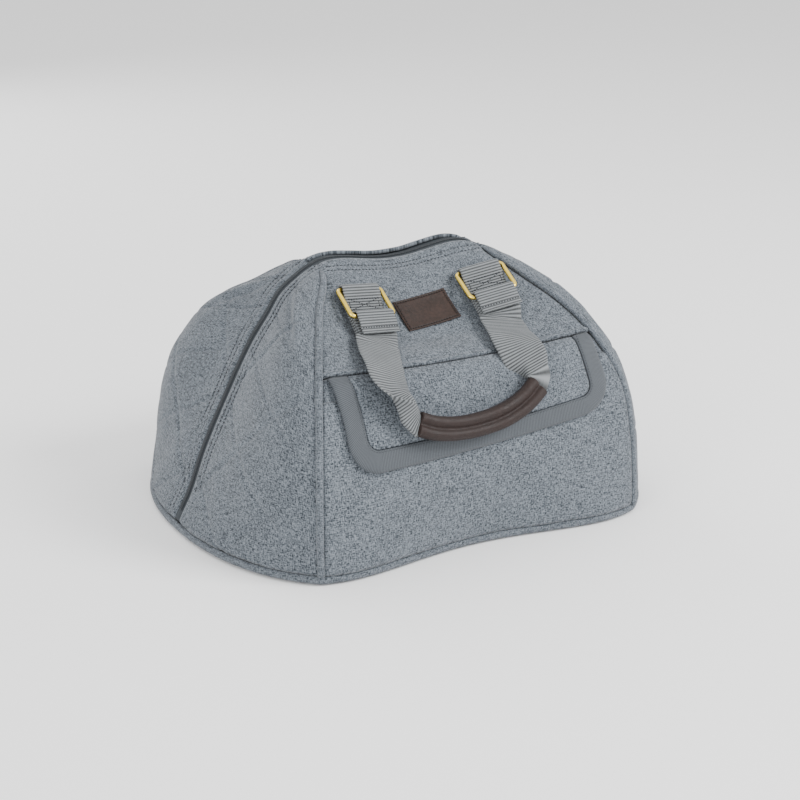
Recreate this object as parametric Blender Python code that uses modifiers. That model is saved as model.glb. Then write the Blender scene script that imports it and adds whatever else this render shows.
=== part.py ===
"""A soft helmet bag with a sunken front yoke, a flap pocket, quilted ends and a webbing handle.

Metres, +Z up, +X to the right, front towards -Y. The origin is on the ground, midway
between the front and back base seams.
"""

import math

import bmesh
import bpy
from mathutils import Matrix, Vector

# Overall form
BAG_HEIGHT = 0.2135
SEAM_HALF_WIDTH = 0.1453
ZIP_HALF_WIDTH = 0.201
HALF_DEPTH = 0.1506
PANEL_LENGTH = 0.288
GUSSET_SWELL = 0.015
YOKE_SINK = 0.0195
FOOT_SHOULDER = 0.009
YOKE_LEAN = 0.4
BACK_DROP = 0.0055
BACK_LIP_RISE = 0.0045
BACK_DROP_WIDTH = 0.7
BACK_EASE = 0.2
BACK_START = 0.15
BACK_FULL = 0.55

# Walls and the clearance between neighbours
GAP = 0.0003
CURVED_GAP = 0.0007
PANEL_WALL = 0.003
GUSSET_WALL = 0.005
BASE_WALL = 0.003
POCKET_WALL = 0.0015
FLAP_WALL = 0.0024

# Base
BASE_SEAM_HEIGHT = 0.008
BASE_BULGE = 0.0014
BASE_ROUND = 0.0006
BASE_FLAT_INSET = 0.0055

# Seams
PIPING_RADIUS = 0.003
PIPING_LAST = 0.925
PIPING_END_ROOM = 0.014
PIPING_EASE = 0.03
YOKE_SEAM_SHARE = 0.535
YOKE_SEAM_SAG = 0.005

# Zip
ZIP_OPENING = 0.0136
TAPE_WALL = 0.0012
TAPE_RECESS = 0.0016
COIL_WIDTH = 0.005
COIL_HEIGHT = 0.0014
ZIP_END_HEIGHT = 0.013
SLIDER_LENGTH = 0.013
SLIDER_WIDTH = 0.009
SLIDER_HEIGHT = 0.003
SLIDER_UP = 0.014
SLIDER_EDGE = 0.0008

# Pocket and flap
POCKET_HEM_DROP = 0.020
FLAP_HALF_WIDTH = 0.119
FLAP_LENGTH = 0.0725
FLAP_SKEW = 0.008
FLAP_CORNER = 0.026
BINDING_WIDTH = 0.016
BINDING_PROUD = 0.0008
FLAP_STAND_OFF = 0.0004

# Webbing, rings and anchors
WEBBING_WIDTH = 0.0356
WEBBING_WALL = 0.0018
RING_WIRE = 0.0038
RING_INNER_HEIGHT = 0.0235
RING_SIDE_CLEARANCE = 0.001
RING_CORNER = 0.0032
ANCHOR_LENGTH = 0.040
WEBBING_EASE = 0.0009
PATCH_CLEARANCE = 0.0015
STRAP_TAIL = 0.017

# Handle
GRIP_WIDTH = 0.019
GRIP_THICKNESS = 0.0115
GRIP_GROOVE = 0.0022
GRIP_SIDES = 14
HANDLE_DROP = 0.105
HANDLE_SPREAD = 0.057
HANDLE_STAND = 0.016

# Label
LABEL_WIDTH = 0.049
LABEL_HEIGHT = 0.033
LABEL_WALL = 0.0016
LABEL_SHARE = 0.757
LABEL_TURN = 5.5

# Shape of one front quarter of the bag, a row for each level from the base to the zip lip.
# along: share of PANEL_LENGTH. seam_x, seam_y, seam_z: the front corner seam, as shares of
# SEAM_HALF_WIDTH, HALF_DEPTH and BAG_HEIGHT. zip_x, zip_z: the end zip's edge, as shares of
# ZIP_HALF_WIDTH and BAG_HEIGHT. swell: of GUSSET_SWELL. rise: how far that swelling points up.
# sink: of YOKE_SINK, inwards where positive. shoulder: of FOOT_SHOULDER.
LEVELS = (
    # along, seam_x, seam_y, seam_z, zip_x, zip_z, swell, rise, sink, shoulder
    (0.000, 1.000, 1.000, 0.0375, 1.000, 0.0375, 1.00, 0.0, 0.354, 1.00),
    (0.014, 1.000, 1.000, 0.0560, 1.000, 0.0560, 1.00, 0.0, 0.354, 1.00),
    (0.090, 0.999, 0.996, 0.159, 0.942, 0.159, 1.00, 0.4, 0.208, 0.67),
    (0.210, 0.988, 0.979, 0.325, 0.872, 0.325, 0.97, 0.8, 0.054, 0.33),
    (0.370, 0.953, 0.919, 0.531, 0.762, 0.531, 0.87, 1.0, 0.000, 0.10),
    (0.535, 0.862, 0.748, 0.705, 0.660, 0.705, 0.73, 1.0, 0.03, 0.00),
    (0.660, 0.767, 0.573, 0.809, 0.580, 0.810, 0.53, 1.0, 0.90, 0.00),
    (0.780, 0.669, 0.395, 0.878, 0.520, 0.890, 0.37, 1.0, 0.76, 0.00),
    (0.900, 0.554, 0.226, 0.949, 0.433, 0.950, 0.17, 1.0, 0.40, 0.08),
    (1.000, 0.506, 0.071, 0.983, 0.390, 0.972, 0.03, 1.0, 0.185, 0.50),
)

# Where the rings hang. side: left, -1, or right, 1. x: middle of the ring, in metres. top: its
# top bar's place along the front. turn: degrees that its lower end swings to the right.
RING_PLACES = (
    # side, x, top, turn
    (-1, -0.0575, 0.846, 3.0),
    (1, 0.0562, 0.846, 0.0),
)

# The tail of the handle's webbing. down: share of STRAP_TAIL below the ring's lower bar.
# out: share of the turn's radius outwards from the bar's middle.
TAIL_ROUTE = (
    # down, out
    (1.00, 0.40),
    (0.70, 0.45),
    (0.40, 0.76),
)

# Route of the handle's straps over the front. down: share of the way down from the ring's
# lower bar to the grip's end. left_x, right_x: place across, as shares of HANDLE_SPREAD.
# stand: share of HANDLE_STAND between the front panel, as it would be if it weren't sunk, and
# the webbing's middle. fold: how far the webbing is folded lengthwise, from 0, flat, to 1,
# doubled. roll: degrees that its outer edge is raised.
HANDLE_ROUTE = (
    # down, left_x, right_x, stand, fold, roll
    (0.30, -1.09, 0.94, -0.26, 0.00, 8.0),
    (0.45, -1.18, 0.90, 0.32, 0.00, 12.0),
    (0.58, -1.25, 0.88, 0.70, 0.02, 10.0),
    (0.70, -1.28, 0.89, 0.88, 0.12, 8.0),
    (0.82, -1.26, 0.90, 0.97, 0.42, 4.0),
    (0.94, -1.17, 0.88, 1.00, 0.88, 0.0),
)

# The grip's arc. across: from its left end, 0, to its right end, 1. down: share of
# HANDLE_DROP below the ring's lower bar.
GRIP_ROUTE = (
    # across, down
    (0.00, 1.070),
    (0.12, 1.115),
    (0.30, 1.145),
    (0.50, 1.145),
    (0.70, 1.115),
    (0.88, 1.050),
    (1.00, 0.975),
)
GRIP_LEFT_X = -1.10
GRIP_RIGHT_X = 0.84


def clear_scene():
    for old in list(bpy.data.objects):
        bpy.data.objects.remove(old, do_unlink=True)


def finish(name, colour, roughness, metallic=0.0):
    material = bpy.data.materials.new(name)
    material.use_nodes = True
    shader = material.node_tree.nodes["Principled BSDF"]
    shader.inputs["Base Color"].default_value = (*colour, 1.0)
    shader.inputs["Roughness"].default_value = roughness
    shader.inputs["Metallic"].default_value = metallic
    return material


def read_rows(table, place):
    """Every other column of a table at a place along its first column, smoothly joined."""
    last = len(table) - 1
    row = 0
    while row < last - 1 and place > table[row + 1][0]:
        row += 1
    low, high = table[row], table[row + 1]
    span = high[0] - low[0]
    before = table[max(row - 1, 0)]
    after = table[min(row + 2, last)]
    share = (place - low[0]) / span
    found = []
    for column in range(1, len(low)):
        slope_low = (high[column] - before[column]) / (high[0] - before[0]) * span
        slope_high = (after[column] - low[column]) / (after[0] - low[0]) * span
        cubed, squared = share ** 3, share ** 2
        value = (2 * cubed - 3 * squared + 1) * low[column]
        value += (cubed - 2 * squared + share) * slope_low
        value += (3 * squared - 2 * cubed) * high[column]
        value += (cubed - squared) * slope_high
        found.append(value)
    return found


def level(along):
    """The bag's named sizes at one level, in metres."""
    columns = read_rows(LEVELS, along)
    seam_x, seam_y, seam_z, zip_x, zip_z, swell, rise, sink, shoulder = columns
    return {
        "seam": Vector((seam_x * SEAM_HALF_WIDTH, -seam_y * HALF_DEPTH, seam_z * BAG_HEIGHT)),
        "zip": Vector((zip_x * ZIP_HALF_WIDTH, -ZIP_OPENING / 2, zip_z * BAG_HEIGHT)),
        "swell": swell * GUSSET_SWELL,
        "rise": rise,
        "sink": sink * YOKE_SINK,
        "shoulder": shoulder * FOOT_SHOULDER,
    }


def panel_outward(along):
    """The direction out of the front panel at its corner seam."""
    step = 0.004
    rise = level(along + step)["seam"] - level(along - step)["seam"]
    return Vector((0.0, -rise.z, rise.y)).normalized()


def dip_at(x, along):
    """How far the front is sunk inwards at a place."""
    here = level(along)
    share = x / here["seam"].x
    return here["sink"] * (1 - share ** 2) * (1 - YOKE_LEAN * share)


def front_point(x, along, lift=0.0):
    """A point of the front panel's outer face, or lifted off it along its slope's normal."""
    here = level(along)
    share = x / here["seam"].x
    swell = here["shoulder"] * 4 * share ** 2 * (1 - share ** 2)
    place = Vector((x, here["seam"].y, here["seam"].z))
    return place + panel_outward(along) * (swell - dip_at(x, along) + lift)


def facing(x, along):
    """The direction out of the front panel at a place."""
    step = 0.004
    rise = front_point(x, along + step) - front_point(x, along - step)
    run = front_point(x + step, along) - front_point(x - step, along)
    return run.cross(rise).normalized()


def yoke_seam(x):
    """Where the yoke seam crosses the front panel, as a share of its length."""
    share = x / level(YOKE_SEAM_SHARE)["seam"].x
    return YOKE_SEAM_SHARE - YOKE_SEAM_SAG / PANEL_LENGTH * (1 - share ** 2)


def gusset_point(along, across):
    """A point of the right front gusset's outer face, from its corner seam, 0, to the zip, 1."""
    here = level(along)
    start, end = here["seam"], here["zip"]
    step = 0.004
    slope = level(along + step)["zip"] - level(along - step)["zip"]
    outward = Vector((slope.z, 0.0, -slope.x * here["rise"])).normalized()
    run = Vector((0.0, end.y - start.y, 0.0))
    leave = run * 0.72 + outward * 8.6 * here["swell"]
    cubed, squared = across ** 3, across ** 2
    point = start * (2 * cubed - 3 * squared + 1)
    point += leave * (cubed - 2 * squared + across)
    point += end * (3 * squared - 2 * cubed)
    point += run * (cubed - squared)
    return point


def add_object(name, mesh, material, collection):
    made = bpy.data.objects.new(name, mesh)
    mesh.materials.append(material)
    collection.objects.link(made)
    return made


def sheet_mesh(name, rows, closed_rows=False):
    """A mesh of quads through rows of points that all have the same number of points."""
    mesh = bpy.data.meshes.new(name)
    form = bmesh.new()
    grid = [[form.verts.new(point) for point in row] for row in rows]
    count = len(grid[0])
    for low, high in zip(grid, grid[1:]):
        for spot in range(count if closed_rows else count - 1):
            after = (spot + 1) % count
            form.faces.new((low[spot], low[after], high[after], high[spot]))
    form.to_mesh(mesh)
    form.free()
    mesh.shade_smooth()
    return mesh


def shell(name, rows, wall, material, collection, offset=-1.0):
    """A wall whose outer face runs through the rows. Rows run so that it faces outwards."""
    made = add_object(name, sheet_mesh(name, rows), material, collection)
    thick = made.modifiers.new("wall", "SOLIDIFY")
    thick.thickness = wall
    thick.offset = offset
    return made


def tube(name, points, radius, material, collection):
    """A round cord with filled ends through the points."""
    curve = bpy.data.curves.new(name, "CURVE")
    curve.dimensions = "3D"
    curve.bevel_depth = radius
    curve.bevel_resolution = 2
    curve.use_fill_caps = True
    spline = curve.splines.new("POLY")
    spline.points.add(len(points) - 1)
    for spot, point in zip(spline.points, points):
        spot.co = (*point, 1.0)
    return add_object(name, curve, material, collection)


def shares(count):
    return [number / count for number in range(count + 1)]


def spread(low, high, count):
    return [low + (high - low) * share for share in shares(count)]


def turned_back(point):
    """The same place on the back half of the bag, whose upper corners hang a little lower."""
    ease = HALF_DEPTH * BACK_EASE
    off_zip = min(max((-point.y - ZIP_OPENING / 2) / ease, 0.0), 1.0)
    high = (point.z / BAG_HEIGHT - BACK_START) / (BACK_FULL - BACK_START)
    high = min(max(high, 0.0), 1.0)
    aside = min(abs(point.x) / SEAM_HALF_WIDTH / BACK_DROP_WIDTH, 1.0)
    drop = BACK_DROP * off_zip * high ** 2 * (3 - 2 * high) * aside ** 2
    middle = max(1 - (aside * 1.2) ** 2, 0.0)
    rise = BACK_LIP_RISE * middle * math.exp(point.y / ease)
    return Vector((point.x, -point.y, point.z - drop + rise * high))


def turned_left(point):
    """The same place on the left half of the bag."""
    return Vector((-point.x, point.y, point.z))


def panel_levels(low, high):
    """Levels for a panel's rows: the table's own, one between each two, and one near each end."""
    inside = []
    for row, after in zip(LEVELS[2:], LEVELS[3:]):
        inside.append(row[0])
        inside.append((row[0] + after[0]) / 2)
    near = LEVELS[1][0]
    kept = [place for place in inside if low + 2 * near < place < high - 2 * near]
    return [low, low + near] + kept + [high - near, high]


def side_room(along, direction):
    """How far a panel's edge stands back from the corner seam to leave room for the piping."""
    step = 0.004
    run = (level(along + step)["seam"] - level(along - step)["seam"]).normalized()
    slant = run.cross(direction.normalized()).length
    beside = max(1.0 - max(along - PIPING_LAST - PIPING_END_ROOM, 0.0) / PIPING_EASE, 0.0)
    return (PIPING_RADIUS * beside + CURVED_GAP) / slant


def front_rows(low, high, lift=0.0, columns=14):
    """Rows of the front panel between two lines across it, given as functions of x."""
    first, last = low(0.0), high(0.0)
    rows = []
    for place in panel_levels(first, last):
        part = (place - first) / (last - first)
        row = []
        for share in spread(-1.0, 1.0, columns):
            x = level(place)["seam"].x * share
            along = low(x) + (high(x) - low(x)) * part
            half = level(along)["seam"].x - side_room(along, Vector((1.0, 0.0, 0.0)))
            row.append(front_point(half * share, along, lift))
        rows.append(row)
    return rows


def base_of_bag(x):
    return 0.0


def lip_of_bag(x):
    return 1.0


def make_yoke(fabric, collection):
    def low(x):
        return yoke_seam(x) + CURVED_GAP / PANEL_LENGTH
    shell("front_yoke", front_rows(low, lip_of_bag), PANEL_WALL, fabric, collection)


def make_lower_front(fabric, collection):
    shell("front_panel", front_rows(base_of_bag, yoke_seam), PANEL_WALL, fabric, collection)


def make_pocket(fabric, collection):
    def hem(x):
        return yoke_seam(x) - POCKET_HEM_DROP / PANEL_LENGTH
    rows = front_rows(base_of_bag, hem, CURVED_GAP + POCKET_WALL)
    shell("pocket_panel", rows, POCKET_WALL, fabric, collection)


def make_back(fabric, collection):
    rows = [[turned_back(point) for point in reversed(row)]
            for row in front_rows(base_of_bag, lip_of_bag)]
    shell("back_panel", rows, PANEL_WALL, fabric, collection)


def gusset_rows(columns=8):
    rows = []
    for along in panel_levels(0.0, 1.0):
        here = level(along)
        chord = here["zip"] - here["seam"]
        start = side_room(along, chord) / chord.length
        rows.append([gusset_point(along, across) for across in spread(start, 1.0, columns)])
    return rows


def make_gussets(fabric, collection):
    rows = gusset_rows()
    turns = (
        ("front_gusset_right", lambda point: point, False),
        ("front_gusset_left", turned_left, True),
        ("back_gusset_right", turned_back, True),
        ("back_gusset_left", lambda point: turned_back(turned_left(point)), False),
    )
    for name, turn, flipped in turns:
        placed = [[turn(point) for point in (reversed(row) if flipped else row)] for row in rows]
        shell(name, placed, GUSSET_WALL, fabric, collection)


def make_piping(cord, collection):
    route = [level(along)["seam"] for along in spread(0.0, PIPING_LAST, 16)]
    turns = (
        ("piping_front_right", lambda point: point),
        ("piping_front_left", turned_left),
        ("piping_back_right", turned_back),
        ("piping_back_left", lambda point: turned_back(turned_left(point))),
    )
    for name, turn in turns:
        tube(name, [turn(point) for point in route], PIPING_RADIUS, cord, collection)


def base_outline():
    """The bag's outline at its base seam, anticlockwise seen from above."""
    half = level(0.0)["seam"].x
    front = [front_point(half * share, 0.0) for share in spread(-1.0, 1.0, 14)[:-1]]
    end = [gusset_point(0.0, across) for across in spread(0.0, 1.0, 8)]
    far_end = [turned_back(point) for point in reversed(end)]
    back = [turned_back(point) for point in reversed(front[1:])]
    right = end + far_end
    left = [turned_left(point) for point in reversed(right[1:])]
    return front + right + back + left


def inset(outline, distance, height):
    """The outline moved inwards by a distance, at a height."""
    moved = []
    count = len(outline)
    for spot, point in enumerate(outline):
        run = outline[(spot + 1) % count] - outline[spot - 1]
        inward = Vector((-run.y, run.x, 0.0)).normalized()
        place = point + inward * distance
        moved.append(Vector((place.x, place.y, height)))
    return moved


def make_base(fabric, collection):
    outline = base_outline()
    rim = BASE_SEAM_HEIGHT - GAP
    rows = (
        inset(outline, BASE_FLAT_INSET, 0.0),
        inset(outline, BASE_ROUND, rim * 0.16),
        inset(outline, -BASE_BULGE, rim * 0.5),
        inset(outline, 0.0, rim),
    )
    mesh = sheet_mesh("base_panel", rows, closed_rows=True)
    form = bmesh.new()
    form.from_mesh(mesh)
    form.verts.ensure_lookup_table()
    floor = form.faces.new([form.verts[spot] for spot in reversed(range(len(outline)))])
    floor.smooth = False
    form.to_mesh(mesh)
    form.free()
    base = add_object("base_panel", mesh, fabric, collection)
    thick = base.modifiers.new("wall", "SOLIDIFY")
    thick.thickness = BASE_WALL
    thick.offset = -1.0


def zip_line():
    """The zip's line in the bag's middle plane from the right end over the ridge to the left."""
    lowest = ZIP_END_HEIGHT / PANEL_LENGTH * 0.5
    side = [level(along)["zip"] for along in spread(lowest, 0.985, 17)]
    half = front_point(level(1.0)["seam"].x * 0.94, 1.0).x
    ridge = [front_point(x, 1.0) for x in spread(half, -half, 12)]
    line = side + ridge + [turned_left(point) for point in reversed(side)]
    return [Vector((point.x, 0.0, point.z)) for point in line]


def outward_of(line, spot):
    run = line[min(spot + 1, len(line) - 1)] - line[max(spot - 1, 0)]
    return Vector((run.z, 0.0, -run.x)).normalized()


def zip_strip(name, line, depth, half_width, wall, material, collection):
    """A flat strip along the zip's line, its outer face at a depth below the bag's face."""
    rows = []
    for spot, point in enumerate(line):
        outer = point - outward_of(line, spot) * depth
        rows.append([outer + Vector((0.0, side * half_width, 0.0)) for side in (-1, 1)])
    shell(name, rows, wall, material, collection)


def make_zip(tape, coil, metal, collection):
    line = zip_line()
    half_tape = ZIP_OPENING / 2 - GAP
    zip_strip("zip_tape", line, TAPE_RECESS, half_tape, TAPE_WALL, tape, collection)
    coil_depth = TAPE_RECESS - GAP - COIL_HEIGHT
    zip_strip("zip_coil", line, coil_depth, COIL_WIDTH / 2, COIL_HEIGHT, coil, collection)
    make_slider(line, coil_depth, metal, collection)


def make_slider(line, coil_depth, metal, collection):
    """The closed zip's slider, a plain block on the coil near the right end of its run."""
    spot = 1
    while line[spot].z < line[0].z + SLIDER_UP:
        spot += 1
    outward = outward_of(line, spot)
    across = Vector((0.0, 1.0, 0.0))
    along = across.cross(outward)
    lift = SLIDER_HEIGHT / 2 + GAP - coil_depth
    place = line[spot] + outward * (lift + GAP)
    bpy.ops.mesh.primitive_cube_add(size=1.0)
    slider = bpy.context.object
    slider.name = "zip_slider"
    slider.data.materials.append(metal)
    slider.data.transform(turn_to(along * SLIDER_LENGTH, across * SLIDER_WIDTH,
                                  outward * SLIDER_HEIGHT))
    slider.location = place
    edge = slider.modifiers.new("edge", "BEVEL")
    edge.width = SLIDER_EDGE
    edge.segments = 1
    for owner in slider.users_collection:
        owner.objects.unlink(slider)
    collection.objects.link(slider)


def turn_to(first, second, third):
    """A matrix whose columns are three directions."""
    turned = Matrix((first, second, third)).transposed()
    return turned.to_4x4()


def flap_half_width(part, inner):
    """Half the flap's width at a share of its length, with its rounded lower corners."""
    corner = FLAP_CORNER - inner
    length = FLAP_LENGTH - inner
    half = FLAP_HALF_WIDTH - inner
    below = part * length - (length - corner)
    if below <= 0.0:
        return half
    return half - corner + math.sqrt(max(corner ** 2 - below ** 2, 0.0))


def flap_point(x, down, lift):
    """A point of the flap, at a distance across and down from the yoke seam."""
    skewed = down * (1 - FLAP_SKEW / FLAP_LENGTH * x / FLAP_HALF_WIDTH)
    along = yoke_seam(x) - skewed / PANEL_LENGTH
    return front_point(x, along, lift)


def flap_parts():
    """Shares down the flap for its rows, closer together at the rounded corners."""
    straight = 1 - FLAP_CORNER / FLAP_LENGTH
    turns = [math.sin(math.radians(angle)) for angle in (20, 40, 60, 75, 90)]
    return spread(0.0, straight, 4) + [straight + (1 - straight) * turn for turn in turns]


def make_flap(fabric, webbing, collection):
    lift = CURVED_GAP + POCKET_WALL + CURVED_GAP + FLAP_STAND_OFF + FLAP_WALL
    inner = BINDING_WIDTH + GAP
    start = GAP
    rows = []
    for part in reversed(flap_parts()):
        half = flap_half_width(part, inner)
        down = start + part * (FLAP_LENGTH - inner - start)
        rows.append([flap_point(half * share, down, lift) for share in spread(-1.0, 1.0, 12)])
    shell("pocket_flap", rows, FLAP_WALL, fabric, collection)
    make_binding(lift, start, webbing, collection)


def border_line(inner, start):
    """Points of the flap's border, down the left, along the bottom and up the right."""
    parts = flap_parts()
    length = FLAP_LENGTH - inner
    left = [(-flap_half_width(part, inner), start + part * (length - start)) for part in parts]
    bottom = [(left[-1][0] * share, length) for share in spread(1.0, -1.0, 10)[1:-1]]
    right = [(-x, down) for x, down in reversed(left)]
    return left + bottom + right


def make_binding(lift, start, webbing, collection):
    inside = border_line(BINDING_WIDTH, start)
    outside = border_line(0.0, start)
    rows = []
    for share in shares(3):
        rows.append([flap_point(low[0] * (1 - share) + high[0] * share,
                                low[1] * (1 - share) + high[1] * share,
                                lift + BINDING_PROUD)
                     for low, high in zip(outside, inside)])
    shell("flap_binding", rows, FLAP_WALL + BINDING_PROUD, webbing, collection)


def loop_radius():
    """From a bar's middle to the middle of the webbing that is folded round it."""
    return RING_WIRE / 2 + WEBBING_EASE + WEBBING_WALL / 2


def patch_frame(side):
    """A flat frame just over the yoke for the left, -1, or right, 1, ring and its anchor."""
    x, top, turn = read_rows(RING_PLACES, side)
    reach = ANCHOR_LENGTH / PANEL_LENGTH
    low = front_point(x, top - reach * 0.8)
    high = front_point(x, top)
    across = (front_point(x + WEBBING_WIDTH / 2, top - reach / 2)
              - front_point(x - WEBBING_WIDTH / 2, top - reach / 2)).normalized()
    down = low - high
    down = (down - across * down.dot(across)).normalized()
    outward = down.cross(across).normalized()
    swing = Matrix.Rotation(math.radians(turn), 3, outward)
    across, down = swing @ across, swing @ down
    seat = 0.0
    for drop in spread(-0.08, 1.02, 10):
        for share in spread(-0.54, 0.54, 8):
            place = down * ANCHOR_LENGTH * drop + across * WEBBING_WIDTH * share
            point = front_point(x + place.x, top - reach * drop)
            seat = max(seat, (point - high).dot(outward))
    return {"across": across, "down": down, "outward": outward, "top": top,
            "corner": high + outward * (seat + PATCH_CLEARANCE)}


def on_patch(frame, across, down, lift):
    return (frame["corner"] + frame["across"] * across + frame["down"] * down
            + frame["outward"] * lift)


def bar_places():
    """How far down and out the ring's top and lower bars lie in their frame."""
    top_lift = WEBBING_WALL / 2 + loop_radius()
    layers = 2 * WEBBING_WALL + GAP
    low_lift = layers + GAP + WEBBING_WALL / 2 + loop_radius()
    height = RING_INNER_HEIGHT + RING_WIRE
    low_down = math.sqrt(height ** 2 - (low_lift - top_lift) ** 2)
    return top_lift, low_down, low_lift


def make_ring(name, side, metal, collection):
    frame = patch_frame(side)
    top_lift, low_down, low_lift = bar_places()
    half = WEBBING_WIDTH / 2 + RING_SIDE_CLEARANCE + RING_WIRE / 2
    height = RING_INNER_HEIGHT + RING_WIRE
    corners = (
        (-half + RING_CORNER, RING_CORNER, 180),
        (half - RING_CORNER, RING_CORNER, 270),
        (half - RING_CORNER, height - RING_CORNER, 0),
        (-half + RING_CORNER, height - RING_CORNER, 90),
    )
    points = []
    for x, drop, start in corners:
        for angle in (start, start + 30, start + 60, start + 90):
            turn = math.radians(angle)
            part = (drop + RING_CORNER * math.sin(turn)) / height
            points.append(on_patch(frame, x + RING_CORNER * math.cos(turn), part * low_down,
                                   top_lift + (low_lift - top_lift) * part))
    ring = tube(name, points, RING_WIRE / 2, metal, collection)
    ring.data.splines[0].use_cyclic_u = True
    ring.data.use_fill_caps = False


def make_anchor(name, side, webbing, collection):
    """Webbing folded over the ring's top bar, both its ends sewn down to the yoke."""
    frame = patch_frame(side)
    radius = loop_radius()
    top_lift = bar_places()[0]
    low_lift = WEBBING_WALL / 2
    high_lift = low_lift + WEBBING_WALL + GAP
    route = [(ANCHOR_LENGTH, high_lift), (ANCHOR_LENGTH * 0.55, high_lift),
             (ANCHOR_LENGTH * 0.36, high_lift + GAP), (radius * 1.7, top_lift + radius * 0.45)]
    for angle in spread(60, 270, 7):
        turn = math.radians(angle)
        route.append((radius * math.cos(turn), top_lift + radius * math.sin(turn)))
    route += [(ANCHOR_LENGTH * 0.5, low_lift), (ANCHOR_LENGTH, low_lift)]
    rows = []
    for down, lift in route:
        rows.append([on_patch(frame, WEBBING_WIDTH * share, down, lift) for share in (-0.5, 0.5)])
    shell(name, rows, WEBBING_WALL, webbing, collection, offset=0.0)


def folded_section(fold):
    """Places across and out of the webbing when its outer half is folded over its inner half."""
    half = WEBBING_WIDTH / 2
    bend = 0.2
    angle = math.pi * fold
    inner_half = [(half * share, 0.0) for share in (0.0, 0.5, 1.0)]
    outer_half = []
    across, out = 0.0, 0.0
    before = 0.0
    for share in (0.1, 0.2, 0.6, 1.0):
        heading = angle * min((before + share) / 2 / bend, 1.0)
        across -= half * (share - before) * math.cos(heading)
        out += half * (share - before) * math.sin(heading)
        outer_half.append((across, out))
        before = share
    shift = half / 2 * fold
    thick = half * bend / math.pi * fold
    points = list(reversed(outer_half)) + inner_half
    return [(place - shift, rise - thick) for place, rise in points]


def handle_start():
    """Where the rings' lower bars lie along the front, on average."""
    tops = [top for side, x, top, turn in RING_PLACES]
    return sum(tops) / len(tops) - bar_places()[1] / PANEL_LENGTH


def grip_places():
    """Middle points and outward directions along the grip, from its left end."""
    places = []
    for across in spread(0.0, 1.0, 15):
        down = read_rows(GRIP_ROUTE, across)[0]
        x = (GRIP_LEFT_X + (GRIP_RIGHT_X - GRIP_LEFT_X) * across) * HANDLE_SPREAD
        along = handle_start() - down * HANDLE_DROP / PANEL_LENGTH
        places.append((front_point(x, along, HANDLE_STAND), facing(x, along)))
    return places


def patch_row(frame, side, down, lift):
    """A flat row across the webbing from its outer edge to its inner one."""
    return [on_patch(frame, -side * place, down, lift) for place, rise in folded_section(0.0)]


def turn_rows(frame, side):
    """Rows of the tail, the turn round the ring's lower bar and the way past the anchor."""
    low_down, low_lift = bar_places()[1:]
    radius = loop_radius()
    rows = []
    for down, out in TAIL_ROUTE:
        rows.append(patch_row(frame, side, low_down + STRAP_TAIL * down, low_lift + radius * out))
    for angle in spread(60, 270, 7):
        turn = math.radians(angle)
        rows.append(patch_row(frame, side, low_down + radius * math.cos(turn),
                              low_lift + radius * math.sin(turn)))
    rows.append(patch_row(frame, side, ANCHOR_LENGTH + PANEL_WALL, low_lift - radius))
    return rows


def strap_places(side):
    """Middle points, outward directions, folds and rolls down one strap, ending at the grip."""
    column = 0 if side < 0 else 1
    reach = (GRIP_ROUTE[0][1] if side < 0 else GRIP_ROUTE[-1][1]) * HANDLE_DROP
    places = []
    for part in spread(HANDLE_ROUTE[0][0], HANDLE_ROUTE[-1][0], 8):
        columns = read_rows(HANDLE_ROUTE, part)
        x = columns[column] * HANDLE_SPREAD
        along = handle_start() - part * reach / PANEL_LENGTH
        place = front_point(x, along, columns[2] * HANDLE_STAND + dip_at(x, along))
        places.append((place, panel_outward(along), columns[3], math.radians(columns[4])))
    return places


def run_rows(side, start):
    """Rows of the strap's long run from a point near its ring to the grip's end."""
    grip = grip_places()
    end, after = (grip[0], grip[1]) if side < 0 else (grip[-1], grip[-2])
    lead = (after[0] - end[0]).normalized()
    places = strap_places(side) + [(end[0] - lead * 2 * GAP, end[1], 1.0, 0.0)]
    middles = [start] + [place[0] for place in places] + [places[-1][0] + lead * GRIP_WIDTH]
    rows = []
    for spot, (point, outward, fold, roll) in enumerate(places):
        before = point if spot == len(places) - 1 else middles[spot]
        run = (middles[spot + 2] - before).normalized()
        flat = outward.cross(run).normalized() * -side
        outward = run.cross(flat).normalized() * -side
        across = flat * math.cos(roll) - outward * math.sin(roll)
        outward = outward * math.cos(roll) + flat * math.sin(roll)
        rows.append([point + across * place + outward * rise
                     for place, rise in folded_section(fold)])
    return rows


def make_strap(name, side, webbing, collection):
    """One end of the handle: a tail in front, a turn round the ring's bar, and the long run."""
    rows = turn_rows(patch_frame(side), side)
    start = sum(rows[-1], Vector()) / len(rows[-1])
    shell(name, rows + run_rows(side, start), WEBBING_WALL, webbing, collection, offset=0.0)


def grip_section():
    """Outline of two rolls of leather side by side, with a groove between them."""
    roll = GRIP_WIDTH / 4
    outline = []
    for number in range(GRIP_SIDES):
        turn = 2 * math.pi * number / GRIP_SIDES
        place = GRIP_WIDTH / 2 * math.cos(turn)
        rise = GRIP_THICKNESS / 2 * math.copysign(abs(math.sin(turn)) ** 0.8, math.sin(turn))
        groove = GRIP_GROOVE * max(1 - abs(place) / roll, 0.0)
        outline.append((place, rise - math.copysign(groove, rise) if abs(rise) > groove else rise))
    return outline


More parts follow.
